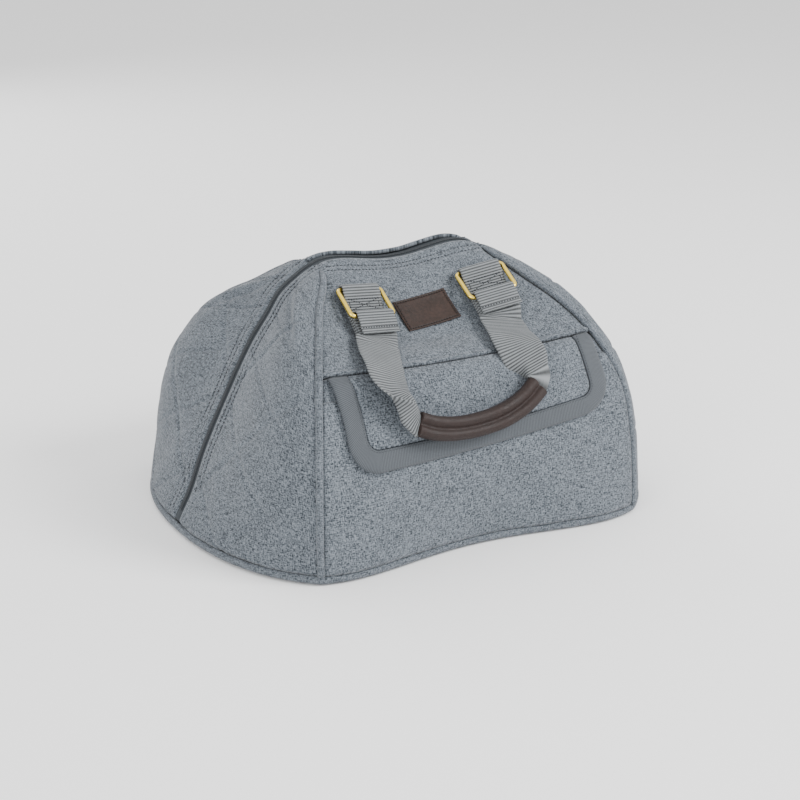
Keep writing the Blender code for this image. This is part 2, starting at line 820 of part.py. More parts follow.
def make_grip(leather, collection):
    places = grip_places()
    rows = []
    for spot, (point, outward) in enumerate(places):
        ahead = places[min(spot + 1, len(places) - 1)][0]
        run = (ahead - places[max(spot - 1, 0)][0]).normalized()
        across = outward.cross(run).normalized()
        outward = run.cross(across).normalized()
        rows.append([point + across * place + outward * rise for place, rise in grip_section()])
    mesh = sheet_mesh("grip", rows, closed_rows=True)
    form = bmesh.new()
    form.from_mesh(mesh)
    bmesh.ops.holes_fill(form, edges=form.edges[:], sides=0)
    bmesh.ops.recalc_face_normals(form, faces=form.faces[:])
    form.to_mesh(mesh)
    form.free()
    add_object("grip", mesh, leather, collection)


def make_label(leather, collection):
    lift = CURVED_GAP + LABEL_WALL
    turn = math.radians(LABEL_TURN)
    rows = []
    for up in spread(-LABEL_HEIGHT / 2, LABEL_HEIGHT / 2, 4):
        row = []
        for across in spread(-LABEL_WIDTH / 2, LABEL_WIDTH / 2, 6):
            x = across * math.cos(turn) - up * math.sin(turn)
            climb = across * math.sin(turn) + up * math.cos(turn)
            row.append(front_point(x, LABEL_SHARE + climb / PANEL_LENGTH, lift))
        rows.append(row)
    shell("label", rows, LABEL_WALL, leather, collection)


def build():
    clear_scene()
    collection = bpy.data.collections.new("helmet_bag")
    bpy.context.scene.collection.children.link(collection)
    fabric = finish("grey_melange", (0.235, 0.26, 0.285), 0.95)
    cord = finish("grey_piping", (0.22, 0.245, 0.27), 0.95)
    webbing = finish("grey_webbing", (0.30, 0.31, 0.31), 0.85)
    tape = finish("dark_tape", (0.10, 0.115, 0.13), 0.9)
    coil = finish("dark_coil", (0.07, 0.08, 0.09), 0.6)
    metal = finish("gold_metal", (0.75, 0.58, 0.16), 0.3, 1.0)
    leather = finish("brown_leather", (0.095, 0.06, 0.05), 0.6)
    make_base(fabric, collection)
    make_lower_front(fabric, collection)
    make_yoke(fabric, collection)
    make_back(fabric, collection)
    make_gussets(fabric, collection)
    make_piping(cord, collection)
    make_pocket(fabric, collection)
    make_flap(fabric, webbing, collection)
    make_zip(tape, coil, metal, collection)
    for side, word in ((-1, "left"), (1, "right")):
        make_anchor("anchor_" + word, side, webbing, collection)
        make_ring("ring_" + word, side, metal, collection)
        make_strap("strap_" + word, side, webbing, collection)
    make_grip(leather, collection)
    make_label(leather, collection)


build()
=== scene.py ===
# %% [markdown]
# # A soft helmet bag
#
# A bag of grey melange cloth for one riding helmet. The front and back are bell-shaped
# panels, the two ends are quilted wedges, and a zip runs from one foot over the ridge to the
# other. On the front are a flap pocket, a small leather patch and one webbing handle that
# hangs from two metal rings.
#
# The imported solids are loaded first. They fix every size and place, and each soft piece is
# then made again with its folds, seams and threads.

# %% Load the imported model
import functools
import math

import bmesh
import bpy
from mathutils import Matrix, Vector, noise


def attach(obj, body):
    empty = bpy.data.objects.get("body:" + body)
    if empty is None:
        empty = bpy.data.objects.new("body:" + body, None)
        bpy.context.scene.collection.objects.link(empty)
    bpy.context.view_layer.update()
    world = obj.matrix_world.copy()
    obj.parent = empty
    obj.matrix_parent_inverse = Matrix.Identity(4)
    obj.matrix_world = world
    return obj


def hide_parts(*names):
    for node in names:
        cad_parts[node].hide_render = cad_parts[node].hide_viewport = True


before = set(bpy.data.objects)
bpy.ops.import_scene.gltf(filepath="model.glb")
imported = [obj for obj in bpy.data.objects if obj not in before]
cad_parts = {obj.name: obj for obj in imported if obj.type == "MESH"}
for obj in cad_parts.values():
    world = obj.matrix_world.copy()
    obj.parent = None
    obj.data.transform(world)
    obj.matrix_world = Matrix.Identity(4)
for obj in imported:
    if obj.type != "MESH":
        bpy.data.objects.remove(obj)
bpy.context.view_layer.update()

# %% [markdown]
# ## Camera, floor and light
#
# The camera was fitted to the photograph's base line, corner seams and zip. It looks at the
# bag from its left front, a little from above, through a long lens. The floor is one pale
# sheet, and broad soft lamps stand round it, as in a product studio.

# %% Camera
VIEW_AZIMUTH = math.radians(29.527)
VIEW_ELEVATION = math.radians(19.39)
VIEW_DISTANCE = 1.45
VIEW_TARGET = Vector((0.0, -0.0322, 0.0906))
LENS = 78.126
SENSOR = 36.0
SHIFT = (-0.01386, -0.0037)


def direction_from(azimuth, elevation):
    """The direction from the bag towards a viewer at these angles."""
    flat = math.cos(elevation)
    return Vector((-math.sin(azimuth) * flat, -math.cos(azimuth) * flat, math.sin(elevation)))


def aim(thing, target):
    thing.rotation_euler = (target - thing.location).to_track_quat("-Z", "Y").to_euler()


camera_data = bpy.data.cameras.new("camera")
camera_data.lens = LENS
camera_data.sensor_width = SENSOR
camera_data.shift_x, camera_data.shift_y = SHIFT
camera = bpy.data.objects.new("camera", camera_data)
camera.location = VIEW_TARGET + direction_from(VIEW_AZIMUTH, VIEW_ELEVATION) * VIEW_DISTANCE
aim(camera, VIEW_TARGET)
bpy.context.scene.collection.objects.link(camera)
bpy.context.scene.camera = camera
print("camera at", [round(v, 3) for v in camera.location])

# %% Floor and lamps
FLOOR_HALF = 9.0
FLOOR_TONE = (0.96, 0.96, 0.96)
SKY_TONE = (1.0, 1.0, 1.0)
SKY_STRENGTH = 1.2
LAMPS = (
    # name, place, width, power
    ("key", (1.2, -1.5, 1.5), 0.9, 64.0),
    ("fill", (-1.9, -1.2, 0.8), 1.5, 25.0),
    ("top", (0.1, 0.5, 2.0), 1.6, 5.0),
    ("back", (-0.4, 1.9, 1.0), 1.4, 18.0),
)

floor_mesh = bpy.data.meshes.new("floor")
floor_corners = [(x * FLOOR_HALF, y * FLOOR_HALF, 0.0) for x, y in ((-1, -1), (1, -1), (1, 1), (-1, 1))]
floor_mesh.from_pydata(floor_corners, [], [(0, 1, 2, 3)])
floor = bpy.data.objects.new("floor", floor_mesh)
bpy.context.scene.collection.objects.link(floor)
floor_finish = bpy.data.materials.new("pale_floor")
floor_finish.use_nodes = True
floor_shader = floor_finish.node_tree.nodes["Principled BSDF"]
floor_shader.inputs["Base Color"].default_value = (*FLOOR_TONE, 1.0)
floor_shader.inputs["Roughness"].default_value = 0.9
floor_mesh.materials.append(floor_finish)

sky = bpy.data.worlds.new("studio")
sky.use_nodes = True
sky.node_tree.nodes["Background"].inputs["Color"].default_value = (*SKY_TONE, 1.0)
sky.node_tree.nodes["Background"].inputs["Strength"].default_value = SKY_STRENGTH
bpy.context.scene.world = sky
for name, place, width, power in LAMPS:
    lamp_data = bpy.data.lights.new(name, "AREA")
    lamp_data.size = width
    lamp_data.energy = power
    lamp = bpy.data.objects.new(name, lamp_data)
    lamp.location = place
    aim(lamp, VIEW_TARGET)
    bpy.context.scene.collection.objects.link(lamp)
print("lamps:", len(LAMPS))

# %% [markdown]
# ## The bag's form in numbers
#
# The scene can't read the solids' script, so the same sizes and tables are repeated here.
# One table gives the corner seam, the zip's edge and the swelling of the panels at ten
# levels. A smooth curve joins the levels. Everything else on the bag is placed on the
# surfaces that the table describes, so a change of one number moves all that touches it.

# %% Main sizes, in metres
BAG_HEIGHT = 0.2135
SEAM_HALF_WIDTH = 0.1453
ZIP_HALF_WIDTH = 0.201
HALF_DEPTH = 0.1506
PANEL_LENGTH = 0.288
GUSSET_SWELL = 0.015
YOKE_SINK = 0.0195
FOOT_SHOULDER = 0.009
YOKE_LEAN = 0.4
BACK_DROP = 0.0055
BACK_LIP_RISE = 0.0045
BACK_DROP_WIDTH = 0.7
BACK_EASE = 0.2
BACK_START = 0.15
BACK_FULL = 0.55
PANEL_WALL = 0.003
GUSSET_WALL = 0.005
BASE_WALL = 0.003
POCKET_WALL = 0.0015
FLAP_WALL = 0.0024
BASE_SEAM_HEIGHT = 0.008
PIPING_RADIUS = 0.003
PIPING_LAST = 0.925
PIPING_END_ROOM = 0.014
PIPING_PRESS = 0.0004
PIPING_EASE = 0.03
YOKE_SEAM_SHARE = 0.535
YOKE_SEAM_SAG = 0.005
ZIP_OPENING = 0.0136
GAP = 0.0003
CURVED_GAP = 0.0007
print("panel length:", PANEL_LENGTH, "m, greatest width:", 2 * ZIP_HALF_WIDTH, "m")

# %% The corner seam and the zip, level by level
STEP = 0.004
LEVELS = (
    # along, seam_x, seam_y, seam_z, zip_x, zip_z, swell, rise, sink, shoulder
    (0.000, 1.000, 1.000, 0.0375, 1.000, 0.0375, 1.00, 0.0, 0.354, 1.00),
    (0.014, 1.000, 1.000, 0.0560, 1.000, 0.0560, 1.00, 0.0, 0.354, 1.00),
    (0.090, 0.999, 0.996, 0.159, 0.942, 0.159, 1.00, 0.4, 0.208, 0.67),
    (0.210, 0.988, 0.979, 0.325, 0.872, 0.325, 0.97, 0.8, 0.054, 0.33),
    (0.370, 0.953, 0.919, 0.531, 0.762, 0.531, 0.87, 1.0, 0.000, 0.10),
    (0.535, 0.862, 0.748, 0.705, 0.660, 0.705, 0.73, 1.0, 0.03, 0.00),
    (0.660, 0.767, 0.573, 0.809, 0.580, 0.810, 0.53, 1.0, 0.90, 0.00),
    (0.780, 0.669, 0.395, 0.878, 0.520, 0.890, 0.37, 1.0, 0.76, 0.00),
    (0.900, 0.554, 0.226, 0.949, 0.433, 0.950, 0.17, 1.0, 0.40, 0.08),
    (1.000, 0.506, 0.071, 0.983, 0.390, 0.972, 0.03, 1.0, 0.185, 0.50),
)


def read_rows(table, place):
    """Every other column of a table at a place along its first column, smoothly joined."""
    last = len(table) - 1
    row = 0
    while row < last - 1 and place > table[row + 1][0]:
        row += 1
    low, high = table[row], table[row + 1]
    span = high[0] - low[0]
    before = table[max(row - 1, 0)]
    after = table[min(row + 2, last)]
    share = (place - low[0]) / span
    cubed, squared = share ** 3, share ** 2
    found = []
    for column in range(1, len(low)):
        slope_low = (high[column] - before[column]) / (high[0] - before[0]) * span
        slope_high = (after[column] - low[column]) / (after[0] - low[0]) * span
        found.append((2 * cubed - 3 * squared + 1) * low[column]
                     + (cubed - 2 * squared + share) * slope_low
                     + (3 * squared - 2 * cubed) * high[column]
                     + (cubed - squared) * slope_high)
    return found


@functools.lru_cache(maxsize=None)
def level(along):
    """The bag's named sizes at one level, in metres."""
    seam_x, seam_y, seam_z, zip_x, zip_z, swell, rise, sink, shoulder = read_rows(LEVELS, along)
    return {
        "seam": Vector((seam_x * SEAM_HALF_WIDTH, -seam_y * HALF_DEPTH, seam_z * BAG_HEIGHT)),
        "zip": Vector((zip_x * ZIP_HALF_WIDTH, -ZIP_OPENING / 2, zip_z * BAG_HEIGHT)),
        "swell": swell * GUSSET_SWELL,
        "rise": rise,
        "sink": sink * YOKE_SINK,
        "shoulder": shoulder * FOOT_SHOULDER,
    }


@functools.lru_cache(maxsize=None)
def panel_outward(along):
    """The direction out of the front panel at its corner seam."""
    rise = level(along + STEP)["seam"] - level(along - STEP)["seam"]
    return Vector((0.0, -rise.z, rise.y)).normalized()


@functools.lru_cache(maxsize=None)
def gusset_outward(along):
    """The direction out of the right gusset at one level."""
    slope = level(along + STEP)["zip"] - level(along - STEP)["zip"]
    return Vector((slope.z, 0.0, -slope.x * level(along)["rise"])).normalized()


print("front width at the base:", round(2 * level(0.0)["seam"].x, 4), "m")

# %% Places on the bag's faces
GUSSET_LEAVE = 0.72
GUSSET_BULGE = 8.6


def spread(low, high, count):
    return [low + (high - low) * number / count for number in range(count + 1)]


def full_turn(count):
    """Evenly spaced angles once round."""
    return [2 * math.pi * number / count for number in range(count)]


def between(start, end, share):
    """The pair of numbers at a share of the way from one pair to another."""
    return tuple(low + (high - low) * share for low, high in zip(start, end))


def dip_at(x, along):
    """How far the front is sunk inwards at a place."""
    here = level(along)
    share = x / here["seam"].x
    return here["sink"] * (1 - share ** 2) * (1 - YOKE_LEAN * share)


def front_point(x, along, lift=0.0):
    """A point of the front's outer face, or lifted off it."""
    here = level(along)
    share = x / here["seam"].x
    swell = here["shoulder"] * 4 * share ** 2 * (1 - share ** 2)
    place = Vector((x, here["seam"].y, here["seam"].z))
    return place + panel_outward(along) * (swell - dip_at(x, along) + lift)


def facing(x, along):
    """The direction out of the front panel at a place."""
    rise = front_point(x, along + STEP) - front_point(x, along - STEP)
    run = front_point(x + STEP, along) - front_point(x - STEP, along)
    return run.cross(rise).normalized()


def yoke_seam(x):
    """Where the yoke seam crosses the front panel, as a share of its length."""
    share = x / level(YOKE_SEAM_SHARE)["seam"].x
    return YOKE_SEAM_SHARE - YOKE_SEAM_SAG / PANEL_LENGTH * (1 - share ** 2)


def gusset_point(along, across, lift=0.0):
    """A point of the right front gusset's outer face, from its corner seam, 0, to the zip, 1."""
    here = level(along)
    start, end = here["seam"], here["zip"]
    outward = gusset_outward(along)
    run = Vector((0.0, end.y - start.y, 0.0))
    leave = run * GUSSET_LEAVE + outward * GUSSET_BULGE * here["swell"]
    cubed, squared = across ** 3, across ** 2
    point = start * (2 * cubed - 3 * squared + 1) + leave * (cubed - 2 * squared + across)
    point += end * (3 * squared - 2 * cubed) + run * (cubed - squared)
    return point + outward * lift


def side_room(along, direction):
    """How far a panel's edge stands back from the corner seam to leave room for the piping."""
    run = (level(along + STEP)["seam"] - level(along - STEP)["seam"]).normalized()
    beside = max(1.0 - max(along - PIPING_LAST - PIPING_END_ROOM, 0.0) / PIPING_EASE, 0.0)
    return (PIPING_RADIUS * beside - PIPING_PRESS) / run.cross(direction.normalized()).length


print("top of the front panel:", [round(v, 4) for v in front_point(0.0, 1.0)])

# %% The back and the left half
BACK_LIP_NARROW = 1.2


def turned_back(point):
    """The same place on the back half of the bag, whose upper corners hang a little lower."""
    ease = HALF_DEPTH * BACK_EASE
    off_zip = min(max((-point.y - ZIP_OPENING / 2) / ease, 0.0), 1.0)
    high = (point.z / BAG_HEIGHT - BACK_START) / (BACK_FULL - BACK_START)
    high = min(max(high, 0.0), 1.0)
    aside = min(abs(point.x) / SEAM_HALF_WIDTH / BACK_DROP_WIDTH, 1.0)
    drop = BACK_DROP * off_zip * high ** 2 * (3 - 2 * high) * aside ** 2
    middle = max(1 - (aside * BACK_LIP_NARROW) ** 2, 0.0)
    rise = BACK_LIP_RISE * middle * math.exp(point.y / ease)
    return Vector((point.x, -point.y, point.z - drop + rise * high))


def turned_left(point):
    return Vector((-point.x, point.y, point.z))


def turned_both(point):
    return turned_back(turned_left(point))


def same(point):
    return point


QUARTERS = (
    # half, end, turn, flipped
    ("front", "right", same, False),
    ("front", "left", turned_left, True),
    ("back", "right", turned_back, True),
    ("back", "left", turned_both, False),
)
print("quarters of the bag:", len(QUARTERS))

# %% [markdown]
# ## Finishes
#
# The cloth is woven from yarns that change tone along their length, so it shows short light
# and dark dashes both ways, with a few longer slubs. A picture of cloth could be laid on,
# but it would repeat. Here each cloth piece carries its own map in metres, and the dashes are
# noise that is squeezed across a yarn and drawn out along it. One group makes that pattern
# for every cloth, and others make the ribs of webbing and the leather's grain.

# %% Helpers for shader nodes
LINK_KINDS = {"VECTOR": "NodeSocketVector", "VALUE": "NodeSocketFloat", "COLOUR": "NodeSocketColor"}


def new_group(name, inputs, outputs):
    """An empty shader group with named sockets. Inputs are name, kind, default."""
    tree = bpy.data.node_groups.new(name, "ShaderNodeTree")
    for label, kind, default in inputs:
        made = tree.interface.new_socket(label, in_out="INPUT", socket_type=LINK_KINDS[kind])
        if default is not None:
            made.default_value = default
    for label, kind in outputs:
        tree.interface.new_socket(label, in_out="OUTPUT", socket_type=LINK_KINDS[kind])
    return tree, tree.nodes.new("NodeGroupInput"), tree.nodes.new("NodeGroupOutput")


def feed(tree, socket, value):
    """Put a number, colour or another node's output into a socket."""
    if isinstance(value, bpy.types.NodeSocket):
        tree.links.new(value, socket)
    elif value is not None:
        socket.default_value = value


def maths(tree, operation, first, second=None, third=None):
    node = tree.nodes.new("ShaderNodeMath")
    node.operation = operation
    for socket, value in zip(node.inputs, (first, second, third)):
        feed(tree, socket, value)
    return node.outputs[0]


def mixed(tree, share, first, second, blend="MIX"):
    """A colour mixed from two others."""
    node = tree.nodes.new("ShaderNodeMix")
    node.data_type = "RGBA"
    node.blend_type = blend
    feed(tree, node.inputs[0], share)
    feed(tree, node.inputs[6], first)
    feed(tree, node.inputs[7], second)
    return node.outputs[2]


def noise_at(tree, vector, scale, detail=2.0, rough=0.5, kind="3D"):
    node = tree.nodes.new("ShaderNodeTexNoise")
    node.noise_dimensions = kind
    feed(tree, node.inputs["Vector"], vector)
    node.inputs["Scale"].default_value = scale
    node.inputs["Detail"].default_value = detail
    node.inputs["Roughness"].default_value = rough
    return node.outputs["Fac"]


def stretched(tree, vector, scale):
    """The vector multiplied axis by axis."""
    node = tree.nodes.new("ShaderNodeVectorMath")
    node.operation = "MULTIPLY"
    feed(tree, node.inputs[0], vector)
    node.inputs[1].default_value = scale
    return node.outputs[0]


def spans(tree, value, low, high, new_low, new_high):
    node = tree.nodes.new("ShaderNodeMapRange")
    for socket, amount in zip(node.inputs, (value, low, high, new_low, new_high)):
        feed(tree, socket, amount)
    return node.outputs[0]


def weighted(tree, *pairs):
    """The sum of values, each multiplied by its weight."""
    total = None
    for value, weight in pairs:
        part = maths(tree, "MULTIPLY", value, weight)
        total = part if total is None else maths(tree, "ADD", total, part)
    return total


def off_middle(tree, value):
    return maths(tree, "SUBTRACT", value, 0.5)


def drawn_noise(tree, place, across, ahead):
    """Noise that is squeezed across a yarn and drawn out along it, both per metre."""
    return noise_at(tree, stretched(tree, place, (across, ahead, 1.0)), 1.0, 1.0)


print("socket kinds:", ", ".join(LINK_KINDS))

# %% The melange cloth's pattern
YARN_PER_METRE = 1700.0
DASH_PER_METRE = 420.0
SLUB_ACROSS = 1000.0
SLUB_AHEAD = 120.0
PATCH_PER_METRE = 32.0
DASH_SHARE = 0.34
SLUB_SHARE = 0.16
PATCH_SHARE = 0.35
CROSSING_SHARE = 0.35
TONE_GAIN = 6.5


def make_melange():
    """Dashes of light and dark yarn, and the weave's height, from a map in metres."""
    tree, given, result = new_group(
        "melange_weave",
        (("Map", "VECTOR", None), ("Dark", "COLOUR", (0.1, 0.1, 0.1, 1.0)),
         ("Light", "COLOUR", (0.4, 0.4, 0.4, 1.0)), ("Contrast", "VALUE", 1.0)),
        (("Color", "COLOUR"), ("Height", "VALUE")))
    place = given.outputs["Map"]
    upright = drawn_noise(tree, place, YARN_PER_METRE, DASH_PER_METRE)
    lying = drawn_noise(tree, place, DASH_PER_METRE, YARN_PER_METRE)
    upright_slubs = drawn_noise(tree, place, SLUB_ACROSS, SLUB_AHEAD)
    lying_slubs = drawn_noise(tree, place, SLUB_AHEAD, SLUB_ACROSS)
    dashes = weighted(tree, (maths(tree, "ADD", upright, lying), DASH_SHARE),
                      (maths(tree, "ADD", upright_slubs, lying_slubs), SLUB_SHARE))
    gain = maths(tree, "MULTIPLY", given.outputs["Contrast"], TONE_GAIN)
    patch = noise_at(tree, place, PATCH_PER_METRE, 3.0)
    toned = weighted(tree, (off_middle(tree, dashes), gain), (off_middle(tree, patch), PATCH_SHARE))
    share = spans(tree, toned, -0.5, 0.5, 0.0, 1.0)
    colour = mixed(tree, share, given.outputs["Dark"], given.outputs["Light"])
    tree.links.new(colour, result.inputs["Color"])
    weave = stretched(tree, place, (YARN_PER_METRE, YARN_PER_METRE, 1.0))
    split = tree.nodes.new("ShaderNodeSeparateXYZ")
    tree.links.new(weave, split.inputs[0])
    ripples = [maths(tree, "SINE", maths(tree, "MULTIPLY", split.outputs[axis], math.pi))
               for axis in (0, 1)]
    crossing = maths(tree, "MULTIPLY", *ripples)
    height = maths(tree, "ADD", maths(tree, "MULTIPLY", crossing, CROSSING_SHARE), dashes)
    tree.links.new(height, result.inputs["Height"])
    return tree


melange_group = make_melange()
print("group:", melange_group.name, "nodes:", len(melange_group.nodes))

# %% The ribs' pattern
RIB_THREADS = (2600.0, 500.0)
RIB_WORN_PER_METRE = 70.0


def make_ribs():
    """Tone and height of woven ribs that cross a band, from a map in metres. The tone is painted shade in
    the valleys between ribs and painted light on their crests.
    """
    tree, given, result = new_group(
        "woven_ribs",
        (("Map", "VECTOR", None), ("Dark", "COLOUR", (0.1, 0.1, 0.1, 1.0)),
         ("Light", "COLOUR", (0.4, 0.4, 0.4, 1.0)), ("Rib", "VALUE", 0.0022)),
        (("Color", "COLOUR"), ("Height", "VALUE")))
    split = tree.nodes.new("ShaderNodeSeparateXYZ")
    tree.links.new(given.outputs["Map"], split.inputs[0])
    turns = maths(tree, "DIVIDE", split.outputs[1], given.outputs["Rib"])
    wave = maths(tree, "COSINE", maths(tree, "MULTIPLY", turns, 2 * math.pi))
    ridge = spans(tree, wave, -1.0, 1.0, 0.0, 1.0)
    threads = drawn_noise(tree, given.outputs["Map"], *RIB_THREADS)
    worn = noise_at(tree, given.outputs["Map"], RIB_WORN_PER_METRE, 2.0)
    # Painted shade and light: the colour follows the ribs' height, darkest in the valleys between ribs
    # and lightest on their crests. The threads and worn terms are random tone.
    tone = weighted(tree, (ridge, 0.75), (threads, 0.35), (off_middle(tree, worn), 0.2))
    colour = mixed(tree, tone, given.outputs["Dark"], given.outputs["Light"])
    tree.links.new(colour, result.inputs["Color"])
    height = weighted(tree, (ridge, 0.6), (threads, 0.4))
    tree.links.new(height, result.inputs["Height"])
    return tree


ribs_group = make_ribs()
print("group:", ribs_group.name, "nodes:", len(ribs_group.nodes))

# %% The leather's pattern
PEBBLES_PER_METRE = 950.0
CREASES_PER_METRE = 420.0
RUBBED_PER_METRE = 60.0


def make_grain():
    """The fine pebbles and creases of leather, from a place in metres."""
    tree, given, result = new_group(
        "leather_grain",
        (("Place", "VECTOR", None), ("Dark", "COLOUR", (0.05, 0.03, 0.03, 1.0)),
         ("Light", "COLOUR", (0.12, 0.08, 0.07, 1.0))),
        (("Color", "COLOUR"), ("Height", "VALUE"), ("Roughness", "VALUE")))
    place = given.outputs["Place"]
    pebbles = tree.nodes.new("ShaderNodeTexVoronoi")
    pebbles.feature = "DISTANCE_TO_EDGE"
    tree.links.new(place, pebbles.inputs["Vector"])
    pebbles.inputs["Scale"].default_value = PEBBLES_PER_METRE
    creases = noise_at(tree, place, CREASES_PER_METRE, 3.0)
    rubbed = noise_at(tree, place, RUBBED_PER_METRE, 3.0)
    tone = spans(tree, weighted(tree, (creases, 0.5), (rubbed, 0.5)), 0.3, 0.7, 0.0, 1.0)
    colour = mixed(tree, tone, given.outputs["Dark"], given.outputs["Light"])
    tree.links.new(colour, result.inputs["Color"])
    cell = spans(tree, pebbles.outputs["Distance"], 0.0, 0.25, 0.0, 1.0)
    height = maths(tree, "ADD", maths(tree, "MULTIPLY", cell, 0.6), creases)
    tree.links.new(height, result.inputs["Height"])
    tree.links.new(spans(tree, rubbed, 0.3, 0.7, 0.42, 0.6), result.inputs["Roughness"])
    return tree


grain_group = make_grain()
print("group:", grain_group.name, "nodes:", len(grain_group.nodes))

# %% [markdown]
# A cloth's finish is the pattern group, a little bump from its height and a faint sheen from
# loose fibres. Sheen is one number all over, so it is set on the shader itself.

# %% Parts of a finish
CLOTH_MAP = "cloth"
RIB_PITCH = 0.0023
CLOTH_BUMP = 0.00014
LEATHER_BUMP = 0.00012
GOLD_BUMP = 0.00002
THREAD_TWISTS = 2500.0
THREAD_SHADE = 0.6


def start_finish(name):
    material = bpy.data.materials.new(name)
    material.use_nodes = True
    return material, material.node_tree, material.node_tree.nodes["Principled BSDF"]


def add_bump(tree, shader, height, distance):
    node = tree.nodes.new("ShaderNodeBump")
    node.inputs["Distance"].default_value = distance
    node.inputs["Strength"].default_value = 1.0
    tree.links.new(height, node.inputs["Height"])
    tree.links.new(node.outputs[0], shader.inputs["Normal"])


def place_group(tree, group, values):
    node = tree.nodes.new("ShaderNodeGroup")
    node.node_tree = group
    for label, value in values.items():
        feed(tree, node.inputs[label], value)
    return node


def cloth_map(tree):
    node = tree.nodes.new("ShaderNodeUVMap")
    node.uv_map = CLOTH_MAP
    return node.outputs[0]


def object_place(tree):
    return tree.nodes.new("ShaderNodeTexCoord").outputs["Object"]


print("cloth map:", CLOTH_MAP, "ribs every", RIB_PITCH, "m")


# %% Ways to make each finish
def melange_finish(name, dark, light, contrast=1.0):
    material, tree, shader = start_finish(name)
    weave = place_group(tree, melange_group, {
        "Map": cloth_map(tree), "Dark": (*dark, 1.0), "Light": (*light, 1.0), "Contrast": contrast})
    tree.links.new(weave.outputs["Color"], shader.inputs["Base Color"])
    shader.inputs["Roughness"].default_value = 0.92
    shader.inputs["Specular IOR Level"].default_value = 0.2
    shader.inputs["Sheen Weight"].default_value = 0.12
    shader.inputs["Sheen Roughness"].default_value = 0.5
    add_bump(tree, shader, weave.outputs["Height"], CLOTH_BUMP)
    return material


def ribbed_finish(name, dark, light, rib, bump, sheen=0.08, shine=0.3):
    material, tree, shader = start_finish(name)
    ribs = place_group(tree, ribs_group, {
        "Map": cloth_map(tree), "Dark": (*dark, 1.0), "Light": (*light, 1.0), "Rib": rib})
    tree.links.new(ribs.outputs["Color"], shader.inputs["Base Color"])
    shader.inputs["Roughness"].default_value = 0.72
    shader.inputs["Specular IOR Level"].default_value = shine
    shader.inputs["Sheen Weight"].default_value = sheen
    add_bump(tree, shader, ribs.outputs["Height"], bump)
    return material


def leather_finish(name, dark, light):
    material, tree, shader = start_finish(name)
    grain = place_group(tree, grain_group, {
        "Place": object_place(tree), "Dark": (*dark, 1.0), "Light": (*light, 1.0)})
    tree.links.new(grain.outputs["Color"], shader.inputs["Base Color"])
    tree.links.new(grain.outputs["Roughness"], shader.inputs["Roughness"])
    shader.inputs["Specular IOR Level"].default_value = 0.25
    add_bump(tree, shader, grain.outputs["Height"], LEATHER_BUMP)
    return material


def thread_finish(name, colour):
    material, tree, shader = start_finish(name)
    twist = noise_at(tree, object_place(tree), THREAD_TWISTS, 1.0)
    shade = [tone * THREAD_SHADE for tone in colour]
    tree.links.new(mixed(tree, twist, (*shade, 1.0), (*colour, 1.0)), shader.inputs["Base Color"])
    shader.inputs["Roughness"].default_value = 0.7
    return material


def gold_finish():
    material, tree, shader = start_finish("light_gold")
    rubbed = noise_at(tree, object_place(tree), 900.0, 3.0)
    shader.inputs["Base Color"].default_value = (0.90, 0.66, 0.13, 1.0)
    shader.inputs["Metallic"].default_value = 1.0
    tree.links.new(spans(tree, rubbed, 0.3, 0.7, 0.2, 0.34), shader.inputs["Roughness"])
    add_bump(tree, shader, rubbed, GOLD_BUMP)
    return material


print("bump of the cloth:", CLOTH_BUMP, "m")

# %% The bag's finishes
GREY_DARK = (0.021, 0.026, 0.032)
GREY_LIGHT = (0.176, 0.199, 0.226)
grey_cloth = melange_finish("grey_melange", GREY_DARK, GREY_LIGHT)
grey_cord = melange_finish("grey_cord", GREY_DARK, GREY_LIGHT, 0.8)
# In the ribbed finishes below, the dark colour is painted shade for the valleys between ribs, and the
# light colour is the rib crests with painted light.
grey_webbing = ribbed_finish(
    "grey_webbing", (0.004, 0.005, 0.005), (0.205, 0.219, 0.229), rib=RIB_PITCH, bump=0.0002)
grey_binding = ribbed_finish(
    "grey_binding", (0.028, 0.032, 0.037), (0.082, 0.092, 0.104), rib=0.0014, bump=0.00016)
zip_cloth = ribbed_finish(
    "zip_cloth", (0.020, 0.024, 0.028), (0.052, 0.060, 0.068), rib=0.0007, bump=0.0001,
    sheen=0.0, shine=0.2)
coil_plastic = thread_finish("coil_nylon", (0.045, 0.052, 0.060))
brown_leather = leather_finish("brown_leather", (0.011, 0.006, 0.005), (0.024, 0.014, 0.012))
patch_leather = leather_finish("patch_leather", (0.013, 0.007, 0.005), (0.036, 0.020, 0.015))
dark_thread = thread_finish("dark_thread", (0.020, 0.024, 0.030))
brown_thread = thread_finish("brown_thread", (0.008, 0.005, 0.004))
gold = gold_finish()
print("finishes:", len(bpy.data.materials))

# %% [markdown]
# ## Making cloth from rows of points
#
# Every panel is a grid of points on the bag's surface. Each point also gets a place on the
# cloth's own map, in metres, so that the weave follows the piece. Sculpting by hand would
# give folds too, but a grid from rules keeps the seams exactly together. A Solidify modifier
# gives the wall its thickness, inwards from the visible face.

